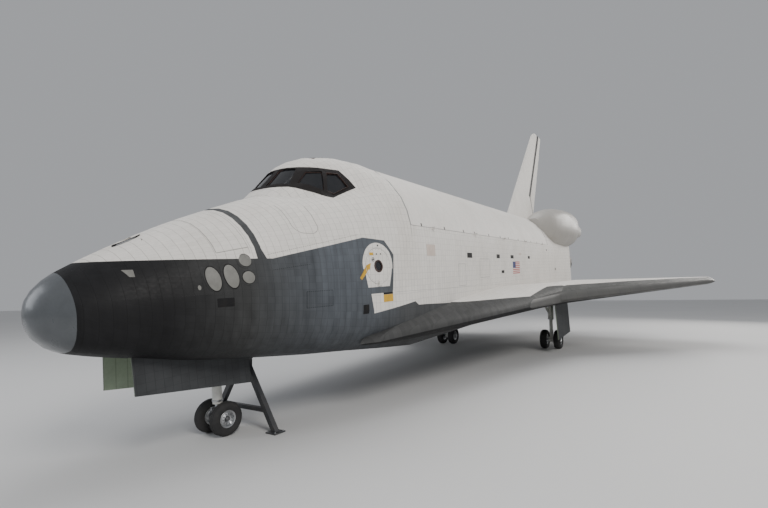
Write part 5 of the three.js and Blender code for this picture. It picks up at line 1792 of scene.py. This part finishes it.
@dataclass
class Thrusters:
    """Covers over the nose module's thruster mouths, flush with the skin."""

    surface: Surface
    side_mouths: tuple[Mouth, ...] = (
        Mouth((337.0, 358.0), (5.3, 9.8), 8.0),
        Mouth((350.4, 359.5), (5.3, 9.8), 8.0),
        Mouth((363.2, 372.6), (5.0, 5.2)),
        Mouth((363.7, 358.2), (5.0, 5.2)),
    )
    top_mouths: tuple[Mouth, ...] = (
        Mouth((303.5, 14.65), (5.0, 5.0)),
        Mouth((303.5, -14.65), (5.0, 5.0)),
        Mouth((350.9, 14.4), (5.0, 5.0)),
        Mouth((350.9, -14.4), (5.0, 5.0)),
        Mouth((350.9, 0.0), (5.0, 5.0)),
    )
    slot: Mouth = Mouth((302.0, -5.9), (10.6, 4.8), rings=(0.2, 0.5, 0.75))
    slot_floor: Mouth = Mouth((302.0, -8.2), (8.8, 2.2), rings=(0.2, 0.4, 0.6))
    bed_half: float = 7.1
    bed_share: float = 1.15
    steps: int = 40
    probes: int = 24

    def build(self) -> None:
        """Builds the covers of both sides and of the crown."""
        beds = [
            Mouth(m.centre, tuple(max(self.bed_half, h * self.bed_share) for h in m.half), m.lean)
            for m in self.side_mouths
        ]
        for side, word in SIDES:
            for name, slot, skin, mouths, share, rise in (
                ("covers", Slot.GREY, Skin.COVER, self.side_mouths, 1.0, 0.36),
                ("rims", Slot.GREY, Skin.DARK, self.side_mouths, 1.1, 0.26),
                ("beds", Slot.BLACK, Skin.HULL, beds, 1.0, 0.14),
            ):
                self.group(f"mouth_{name}_{word}", slot, skin, mouths, side, share, rise)
        for name, slot, skin, mouths, rise in (
            ("crown_covers", Slot.WHITE, Skin.HULL, self.top_mouths, 0.10),
            ("crown_slot_rim", Slot.GREY, Skin.DARK, (self.slot,), 0.50),
            ("crown_slot", Slot.GREY, Skin.GREY, (self.slot_floor,), 0.58),
        ):
            self.group(name, slot, skin, mouths, 0, 1.0, rise)

    def group(
        self, name: str, slot: Slot, skin: Skin, mouths: Sequence[Mouth], side: int, share: float,
        rise: float,
    ) -> None:
        """Builds one piece of crowned plates over some mouths.

        Args:
            name: Name of the piece.
            slot: Its material slot.
            skin: Its finish.
            mouths: The mouths that it covers.
            side: Side of the craft, or 0 for the crown.
            share: Size of a plate against its mouth.
            rise: How far a plate stands off the skin, in inches.
        """
        piece = Piece(name, Body.AIRFRAME.value, slot, skin)
        section = (
            (0.98, -0.6), (1.0, -0.05), (0.98, rise * 0.8), (0.93, rise), (0.6, rise), (0.25, rise),
        )
        for mouth in mouths:
            fit = self.fit(mouth, side)
            piece.loft([
                [self.point(mouth, side, fit, radius * share, a, lift) for a in turns(self.steps)]
                for radius, lift in section
            ])
        piece.finish()

    def point(
        self, mouth: Mouth, side: int, fit: np.ndarray, radius: float, turn: float, lift: float
    ) -> Vector:
        """Gives a point of a plate, lifted off the fitted skin.

        Args:
            mouth: The mouth that the plate covers.
            side: Side of the craft, or 0 for the crown.
            fit: The fitted skin.
            radius: Share of the mouth's half sizes.
            turn: Angle round the mouth.
            lift: Inches off the skin.

        Returns:
            The point, in metres.
        """
        lean = math.radians(mouth.lean)
        du = mouth.half[0] * radius * math.cos(turn)
        dv = mouth.half[1] * radius * math.sin(turn)
        u = du * math.cos(lean) - dv * math.sin(lean)
        v = du * math.sin(lean) + dv * math.cos(lean)
        depth = float(fit @ np.array((1.0, u, v, u * u, u * v, v * v)))
        a, b = mouth.centre[0] + u, mouth.centre[1] + v
        return ST.at(a, depth + side * lift, b) if side else ST.at(a, b, depth + lift)

    def fit(self, mouth: Mouth, side: int) -> np.ndarray:
        """Fits a smooth surface to the skin round a mouth."""
        rows, depths = [], []
        for radius in mouth.rings:
            for a in turns(self.probes):
                u = mouth.half[0] * radius * math.cos(a)
                v = mouth.half[1] * radius * math.sin(a)
                x, w = mouth.centre[0] + u, mouth.centre[1] + v
                if side:
                    found = self.surface.hit((x, side * 400.0, w), (0.0, -side, 0.0))
                else:
                    found = self.surface.hit((x, w, 900.0), (0.0, 0.0, -1.0))
                if found is None:
                    continue
                place = ST.back(found[0])
                rows.append((1.0, u, v, u * u, u * v, v * v))
                depths.append(place.y if side else place.z)
        fit, *_ = np.linalg.lstsq(np.array(rows), np.array(depths), rcond=None)
        return fit


@dataclass
class Cabin:
    """Consoles, panels and seats of the flight deck, seen through the windows."""

    panel_tilt: float = -20.0
    seat_side: float = 22.0
    seat_lean: float = 6.0
    grid: int = 28
    channels: Pair = (-0.33, 0.33)
    knob: tuple[Pair, ...] = ((0.0, 0.9), (0.35, 0.8), (0.45, 0.1), (0.45, -0.2), (0.0, -0.2))

    def build(self) -> None:
        """Builds the deck's fittings and the two seats."""
        self.consoles()
        for side, word in SIDES:
            self.seat(self.seat_side * side, word)

    def consoles(self) -> None:
        """Builds the deck with its instrument panel and centre console."""
        deck = Piece("deck_floor", Body.AIRFRAME.value, Slot.CABIN, Skin.CABIN)
        deck.block((503.0, 0.0, 420.5), (104.0, 96.0, 2.6), 0.4)
        tilt = Matrix.Rotation(math.radians(self.panel_tilt), 3, "Y")
        deck.block((458.5, 0.0, 429.0), (10.0, 58.0, 13.0), 0.8)
        deck.block((461.0, 0.0, 437.0), (3.0, 56.0, 6.0), 0.5, tilt)
        deck.block((482.0, 0.0, 426.8), (23.0, 13.0, 10.0), 0.8)
        deck.finish(("flight_deck",))
        rng = random.Random(7)
        knobs = Piece("deck_controls", Body.AIRFRAME.value, Slot.CABIN, Skin.DARK)
        for row in range(3):
            for column in range(14):
                spot = (463.2 + row * 0.7, -25.0 + column * 3.85, 435.4 + row * 1.9)
                knobs.block(spot, (0.5, rng.choice((0.5, 0.7, 1.1)), 1.0), 0.1)
        for row in range(6):
            for column in range(4):
                spot = (473.5 + row * 3.4, -4.5 + column * 3.0, 432.1)
                knobs.lathe(self.knob, spot, (0, 0, 1), 10)
        knobs.finish()

    def cushion(self, piece: Piece, centre: Point, size: Point, turn: Matrix) -> None:
        """Adds a crowned cushion with two sewn channels and a welted edge.

        Args:
            piece: The piece that it is added to.
            centre: Station point of its middle.
            size: Its length, width and thickness in inches.
            turn: Rotation about its middle, in station directions.
        """
        count = self.grid
        length, width, thick = (part / 2.0 for part in size)

        def spot(i: int, j: int, face: float) -> Vector:
            """Gives a point of the top or bottom face."""
            u, v = 2.0 * i / count - 1.0, 2.0 * j / count - 1.0
            crown = (1.0 - u ** 4) ** 0.5 * (1.0 - v ** 4) ** 0.5
            seam = max(math.exp(-((u - c) / 0.05) ** 2) for c in self.channels)
            pull_u = 1.0 - 0.05 * (1.0 - v * v)
            pull_v = 1.0 - 0.05 * (1.0 - u * u)
            rise = thick * (0.16 + 0.84 * crown * (1.0 - 0.28 * seam)) * face
            place = Vector((u * length * pull_u, v * width * pull_v, rise))
            return ST.at(*(Vector(centre) + turn @ place))

        points, loops = [], []
        for face in (1.0, -1.0):
            base = len(points)
            points += [spot(i, j, face) for i in range(count + 1) for j in range(count + 1)]
            for i in range(count):
                for j in range(count):
                    k = base + i * (count + 1) + j
                    loops.append((k, k + count + 1, k + count + 2, k + 1))
        ring = [(i, 0) for i in range(count)] + [(count, j) for j in range(count)]
        ring += [(i, count) for i in range(count, 0, -1)] + [(0, j) for j in range(count, 0, -1)]
        marks = [i * (count + 1) + j for i, j in ring]
        under = (count + 1) ** 2
        for a, b in zip(marks, marks[1:] + marks[:1]):
            loops.append((a, b, b + under, a + under))
        piece.faces(points, loops)

    def seat(self, y: float, word: str) -> None:
        """Builds one seat: pan, cushions, back, headrest, rails."""
        cloth = Piece(f"seat_cushions_{word}", Body.AIRFRAME.value, Slot.SEAT, Skin.SEAT)
        lean = Matrix.Rotation(math.radians(self.seat_lean), 3, "Y")
        upright = lean @ Matrix.Rotation(math.radians(90.0), 3, "Y")
        self.cushion(cloth, (491.0, y, 432.6), (16.4, 16.4, 2.9), Matrix.Identity(3))
        self.cushion(cloth, (499.0, y, 445.5), (19.0, 16.2, 2.9), upright)
        self.cushion(cloth, (500.0, y, 459.5), (6.6, 9.6, 2.6), upright)
        cloth.finish((f"seat_{word}",), 60.0)
        shell = Piece(f"seat_shell_{word}", Body.AIRFRAME.value, Slot.CABIN, Skin.STEEL)
        shell.block((491.2, y, 430.9), (17.6, 17.6, 0.8), 0.2)
        shell.block((501.4, y, 447.0), (0.9, 17.4, 30.0), 0.3, lean)
        for dy in (-5.0, 5.0):
            shell.block((492.0, y + dy, 426.6), (13.5, 1.1, 8.0), 0.3)
            shell.block((492.0, y + dy, 422.5), (17.0, 2.0, 0.6), 0.2)
        shell.finish()


@dataclass(frozen=True)
class Wheel:
    """Sizes of one pair of wheels: axle's station and height, tyre, half spacing."""

    x: float
    hub: float
    tyre_r: float
    tyre_w: float
    half: float


@dataclass
class Wheels:
    """Tyres with grooves, wheels with bolts and caps; sections are shares of the tyre."""

    nose: Wheel = Wheel(377.0, 226.6, 16.0, 8.8, 11.5)
    main: Wheel = Wheel(1165.0, 184.68, 22.25, 16.0, 15.5)
    main_y: float = 136.0
    rim: float = 0.52
    axle: float = 0.13
    side_wall: tuple[Pair, ...] = (
        (0.52, 0.72), (0.60, 0.86), (0.70, 0.97), (0.78, 1.0), (0.86, 0.955), (0.925, 0.83),
        (0.965, 0.66), (0.988, 0.46),
    )
    grooves: tuple[float, ...] = (-0.36, 0.0, 0.36)
    groove: tuple[Pair, ...] = ((0.998, -0.05), (0.978, -0.03), (0.978, 0.03), (0.998, 0.05))
    disc: tuple[Pair, ...] = ((0.45, 0.30), (0.74, 0.16), (0.84, 0.34), (0.97, 0.37), (1.0, 0.34))
    disc_foot: float = 0.22
    bolt: tuple[Pair, ...] = ((0.0, 0.9), (0.45, 0.8), (0.6, 0.4), (0.6, -0.3), (0.0, -0.3))
    bolt_count: int = 10
    bolt_circle: float = 0.56

    def build(self) -> None:
        """Builds every wheel and tyre."""
        body = Body.NOSE_WHEELS.value
        self.pair(body, 0.0, self.nose, ("nose_tyre_left", "nose_tyre_right"), "nose_axle")
        for side, word in SIDES:
            names = [f"main_tyre_{word}_in", f"main_tyre_{word}_out"][::side]
            axle = f"main_axle_{word}"
            self.pair(f"main_wheels_{word}", self.main_y * side, self.main, names, axle)

    def pair(self, body: str, y: float, w: Wheel, tyres: Sequence[str], axle: str) -> None:
        """Builds two wheels on one axle.

        Args:
            body: The body that they ride on.
            y: Station across of the axle's middle.
            w: The wheels' sizes.
            tyres: Nodes of the tyres; the first is at lower Y.
            axle: Node of the axle with its wheels.
        """
        along = (0, 1, 0)
        for node, shift in zip(tyres, (-w.half, w.half)):
            tyre = Piece(f"{node}_tread", body, Slot.RUBBER, Skin.RUBBER)
            tyre.lathe(self.tread(w), (w.x, y + shift, w.hub), along, 72)
            tyre.finish((node,), 35.0)
        hubs = Piece(f"{body}_rims", body, Slot.METAL, Skin.METAL)
        bolts = Piece(f"{body}_bolts", body, Slot.METAL, Skin.STEEL)
        r, wide = w.tyre_r, w.tyre_w
        reach = r * self.rim - 0.03
        foot = (r * self.axle + 0.3, wide * self.disc_foot)
        disc = [foot, *((reach * a, wide * b) for a, b in self.disc)]
        section = [(a, -b) for a, b in disc] + disc[::-1]
        cap = [(0.0, 0.9), (r * 0.10, 0.7), (r * 0.13, 0.1), (r * 0.13, -0.5), (0.0, -0.5)]
        ring = reach * self.bolt_circle
        for outward in (-1.0, 1.0):
            middle = y + outward * w.half
            hubs.lathe(section, (w.x, middle, w.hub), along, 48)
            face = middle + outward * wide * self.disc_foot
            for a in turns(self.bolt_count):
                spot = (w.x + ring * math.cos(a), face, w.hub + ring * math.sin(a))
                bolts.lathe(self.bolt, spot, (0, outward, 0), 6)
            end = (w.x, middle + outward * wide * 0.34, w.hub)
            bolts.lathe(cap, end, (0, outward, 0), 24)
        ends = [(w.x, y + way * (w.half + wide * 0.34), w.hub) for way in (-1.0, 1.0)]
        hubs.tube(ends, r * self.axle - 0.01, 32)
        hubs.finish((axle,))
        bolts.finish()

    def tread(self, w: Wheel) -> list[Pair]:
        """Gives a tyre's section with round shoulders and three grooves."""
        r, h = w.tyre_r, w.tyre_w / 2.0
        half = [(r * a, -h * b) for a, b in self.side_wall]
        grooves = [(r * a, h * (c + b)) for c in self.grooves for a, b in self.groove]
        return half + grooves + [(a, -b) for a, b in reversed(half)]


@dataclass
class GearLegs:
    """Legs of the landing gear with their links, pipes and collars."""

    skins: SmoothSkin
    legs: tuple[tuple[str, Skin], ...] = (
        ("nose_leg", Skin.GEAR), ("nose_fork", Skin.METAL), ("main_leg_left", Skin.GEAR),
        ("main_leg_right", Skin.GEAR),
    )
    nose_x: float = 377.0
    nose_collar: tuple[Pair, ...] = ((4.2, -1.0), (5.0, -0.8), (5.0, 0.8), (4.2, 1.0))
    nose_collars: tuple[float, ...] = (243.0, 262.0, 300.0)
    lamp: tuple[Pair, ...] = (
        (0.0, -2.2), (1.6, -2.0), (2.2, -0.6), (2.3, 0.2), (1.9, 0.35), (0.0, 0.1),
    )
    main_x: float = 1165.0
    main_y: float = 136.0
    main_collar: tuple[Pair, ...] = ((6.3, -1.2), (7.3, -0.9), (7.3, 0.9), (6.3, 1.2))
    main_collars: tuple[float, ...] = (233.0, 262.0, 284.0)
    links: tuple[Pair, Pair] = ((226.5, 38.0), (204.5, -38.0))
    link_path: tuple[Pair, ...] = ((1169.5, 222.0), (1177.5, 216.0), (1169.5, 208.0))
    pipe_path: tuple[Pair, ...] = ((1158.4, 286.0), (1158.4, 231.0), (1160.2, 226.0))
    clamps: tuple[float, ...] = (279.0, 268.0, 256.0, 244.0)

    def build(self) -> None:
        """Dresses the legs and adds their fittings."""
        for node, skin in self.legs:
            self.skins.dress(((skin, (node,)),))
        nose = self.piece("nose_collars", Skin.METAL)
        for z in self.nose_collars:
            nose.lathe(self.nose_collar, (self.nose_x, 0.0, z), (0, 0, 1), 32)
        nose.finish()
        lamp = self.piece("nose_lamp", Skin.METAL)
        lamp.lathe(self.lamp, (371.0, 0.0, 268.0), (-0.9, 0.0, -0.2), 24)
        lamp.block((373.0, 0.0, 268.5), (3.0, 1.4, 1.6), 0.3)
        lamp.finish()
        for side, word in SIDES:
            self.fittings(self.main_y * side, word)

    def piece(self, name: str, skin: Skin) -> Piece:
        """Starts a metal piece on the airframe."""
        return Piece(name, Body.AIRFRAME.value, Slot.METAL, skin)

    def fittings(self, y: float, word: str) -> None:
        """Builds the collars, links and brake pipe of one main leg."""
        leg = self.piece(f"main_links_{word}", Skin.METAL)
        for z in self.main_collars:
            leg.lathe(self.main_collar, (self.main_x, y, z), (0, 0, 1), 32)
        for z, lean in self.links:
            turn = Matrix.Rotation(math.radians(lean), 3, "Y")
            leg.block((self.main_x + 8.0, y, z), (7.0, 3.6, 1.8), 0.5, turn)
        leg.tube([(x, y, z) for x, z in self.link_path], 1.2, 12)
        leg.finish()
        pipe = self.piece(f"main_pipe_{word}", Skin.STEEL)
        pipe.tube([(x, y, z) for x, z in self.pipe_path], 0.4, 12)
        for z in self.clamps:
            pipe.block((self.pipe_path[0][0] + 0.5, y, z), (2.2, 1.6, 0.9), 0.2)
        pipe.finish()


@dataclass
class Stand:
    """Stand under the nose, with its anchor bolts."""

    skins: SmoothSkin
    foot_y: float = 46.0
    foot_top: float = 1.2
    bolt_reach: float = 5.0
    bolt: tuple[tuple[float, float, float, int], ...] = (
        (1.0, 0.0, 0.12, 24), (0.62, 0.12, 0.7, 6), (0.3, 0.7, 1.3, 12),
    )

    def build(self) -> None:
        """Dresses the stand and adds its anchors."""
        self.skins.dress(((Skin.STAND, ("nose_stand",)),))
        low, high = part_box("nose_stand")
        middle = (low.x + high.x) / 2.0
        bolts = Piece("stand_anchors", Body.AIRFRAME.value, Slot.METAL, Skin.METAL)
        shifts = (-self.bolt_reach, self.bolt_reach)
        for side, _ in SIDES:
            foot = Vector((middle, side * self.foot_y * INCH, self.foot_top * INCH))
            for dx in shifts:
                for dy in shifts:
                    self.anchor(bolts, foot + Vector((dx, dy, 0.0)) * INCH)
        bolts.finish()

    def anchor(self, piece: Piece, spot: Vector) -> None:
        """Adds a washer, a six-sided nut and a bolt's end at a point in metres."""
        for radius, low, high, sides in self.bolt:
            piece.loft([
                [
                    spot + Vector((radius * math.cos(a), radius * math.sin(a), z)) * INCH
                    for a in turns(sides)
                ]
                for z in (low, high)
            ])


ARROW = (
    (481.34, 353.11), (483.86, 350.69), (494.86, 362.19), (496.12, 360.97), (498.5, 368.4),
    (491.08, 365.83), (492.34, 364.61),
)
VENTS = (
    ((760.0, 380.0), (10.0, 4.0)), ((896.0, 380.0), (9.0, 3.6)), ((981.0, 380.0), (10.0, 3.4)),
    ((1107.0, 380.0), (8.0, 3.0)), ((920.0, 351.0), (8.0, 2.6)),
)
PORTS = (((1285.0, 401.0), (3.0, 2.2)), ((1371.0, 350.0), (4.0, 3.0)))
NOSE_PORT = ((283.6, 367.0), (289.6, 367.0), (289.0, 361.7), (286.1, 361.7))
HATCH_DOTS = (((508.4, 378.2), 0.9), ((515.3, 378.3), 0.9), ((512.3, 387.6), 1.0))
ONE_SIDE = {"mirrored": False}
ON_HATCH = {"mirrored": False, "body": Body.HATCH.value}


def patches() -> list[Patch]:
    """Gives the covers, vents and markings that lie on the skin."""
    found = [
        Patch("ensign", rounded((1008.0, 358.0), (24.0, 12.3), 0.4, 2), Skin.ENSIGN, rise=0.1),
        Patch("pale_cover", rounded((629.0, 385.0), (12.0, 7.5), 0.8), Skin.TAN),
    ]
    for i, (centre, half) in enumerate(VENTS, 1):
        found.append(Patch(f"vent_{i}", rounded(centre, half, 0.6), Skin.DARK))
    found.append(Patch("strip_cover", rounded((1038.0, 386.6), (9.0, 2.2), 0.5), Skin.TAN))
    for i, (centre, half) in enumerate(PORTS, 1):
        found.append(Patch(f"port_{i}", rounded(centre, half, 0.5), Skin.DARK))
    upper = rounded((500.6, 378.3), (2.9, 1.5), 0.3)
    lower = rounded((524.9, 329.0), (8.4, 4.1), 0.3)
    strip = rounded((524.9, 334.3), (8.4, 1.0), 0.3)
    found += [
        Patch("nose_port", NOSE_PORT, Skin.COVER, cell=1.0),
        Patch("nose_vent", circle((326.2, 351.6), 1.2, 1.6), Skin.COVER),
        Patch("rough_patch", rounded((344.0, 338.7), (6.4, 3.5), 0.5), Skin.DARK),
        Patch("service_patch", rounded((488.8, 319.6), (4.1, 4.9), 0.5), Skin.DARK),
        Patch("arrow_tail", ARROW, Skin.YELLOW, cell=0.6, only="crew_section", **ONE_SIDE),
        Patch("arrow_head", ARROW, Skin.YELLOW, cell=0.6, only="side_hatch", **ON_HATCH),
        Patch("upper_plate", upper, Skin.YELLOW, **ON_HATCH),
        Patch("lower_plate", lower, Skin.YELLOW, **ONE_SIDE),
        Patch("lower_strip", strip, Skin.DARK, **ONE_SIDE),
    ]
    for i, (centre, radius) in enumerate(HATCH_DOTS, 1):
        dot = circle(centre, radius, count=12)
        found.append(Patch(f"hatch_dot_{i}", dot, Skin.DARK, **ON_HATCH))
    return found


@dataclass(frozen=True)
class Lamp:
    """A soft square light: its place and size in metres, power and colour."""

    name: str
    spot: Point
    size: float
    power: float
    colour: Colour = (1.0, 0.97, 0.93)

    def place(self, target: Vector) -> None:
        """Adds the light, facing the target."""
        data = bpy.data.lights.new(self.name, "AREA")
        data.shape = "SQUARE"
        data.size = self.size
        data.energy = self.power
        data.color = self.colour
        lamp = bpy.data.objects.new(self.name, data)
        lamp.location = Vector(self.spot)
        lamp.rotation_euler = (target - Vector(self.spot)).to_track_quat("-Z", "Y").to_euler()
        bpy.context.scene.collection.objects.link(lamp)


@dataclass
class Studio:
    """Pale floor and soft lights."""

    floor_size: float = 400.0
    floor_drop: float = 0.002
    floor: tuple[Colour, Colour] = ((0.60, 0.60, 0.60), (0.66, 0.66, 0.655))
    sky: tuple[float, ...] = (0.86, 0.88, 0.92, 1.0)
    sky_power: float = 0.45
    lamps: tuple[Lamp, ...] = (
        Lamp("key", (-26.0, -30.0, 26.0), 14.0, 9500.0),
        Lamp("fill", (-34.0, 18.0, 14.0), 16.0, 2600.0, (0.90, 0.94, 1.0)),
        Lamp("over", (4.0, 4.0, 34.0), 30.0, 6500.0, (1.0, 1.0, 1.0)),
        Lamp("rear", (34.0, -18.0, 18.0), 14.0, 5000.0),
    )

    def build(self) -> None:
        """Builds the floor, the lights and the pale surroundings."""
        low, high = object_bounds()
        middle = (low + high) / 2.0
        place = (middle.x, middle.y, low.z - self.floor_drop)
        bpy.ops.mesh.primitive_plane_add(size=self.floor_size, location=place)
        floor = bpy.context.object
        floor.name = "studio_floor"
        sh = Shader("studio_floor")
        shade = sh.mix(sh.noise(400.0, 2.0), *self.floor)
        floor.data.materials.append(sh.dress(shade, 0.7))
        floor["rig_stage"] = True
        for lamp in self.lamps:
            lamp.place(middle)
        world = bpy.data.worlds.new("surroundings")
        world.use_nodes = True
        back = world.node_tree.nodes["Background"]
        back.inputs[0].default_value = self.sky
        back.inputs[1].default_value = self.sky_power
        bpy.context.scene.world = world


HULL_NODES = (
    "nose_body", "rcs_module", "crew_section", "side_hatch", "mid_fuselage", "aft_fuselage",
)


def read_slots(record: dict) -> dict[str, Slot]:
    """Gives the material slot of each node of the frame."""
    return {part["node"]: Slot(part["material_slot"]) for part in record["subparts"]}


def write_sizes() -> None:
    """Updates the view layer."""
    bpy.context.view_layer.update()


def main() -> None:
    """Builds the craft's looks, one sub-assembly after the other."""
    logging.basicConfig(level=logging.INFO, format="%(name)s: %(message)s")
    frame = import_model()
    ST.settle()
    PhotoView().place()
    nodes = frame["nodes"]
    skins = SmoothSkin(nodes, read_slots(frame["record"]))
    skins.dress(CRAFT_COVERS)
    hull = Surface(nodes, HULL_NODES)
    WindowFrames(hull).build()
    Hatch(Surface(nodes, ("side_hatch", "hatch_window"))).build()
    Thrusters(hull).build()
    Engines().build()
    PodNozzles().build()
    Cabin().build()
    Wheels().build()
    GearLegs(skins).build()
    Stand(skins).build()
    layer = PatchLayer(hull)
    for patch in patches():
        layer.lay(patch)
    Studio().build()
    write_sizes()


if __name__ == "__main__":
    main()
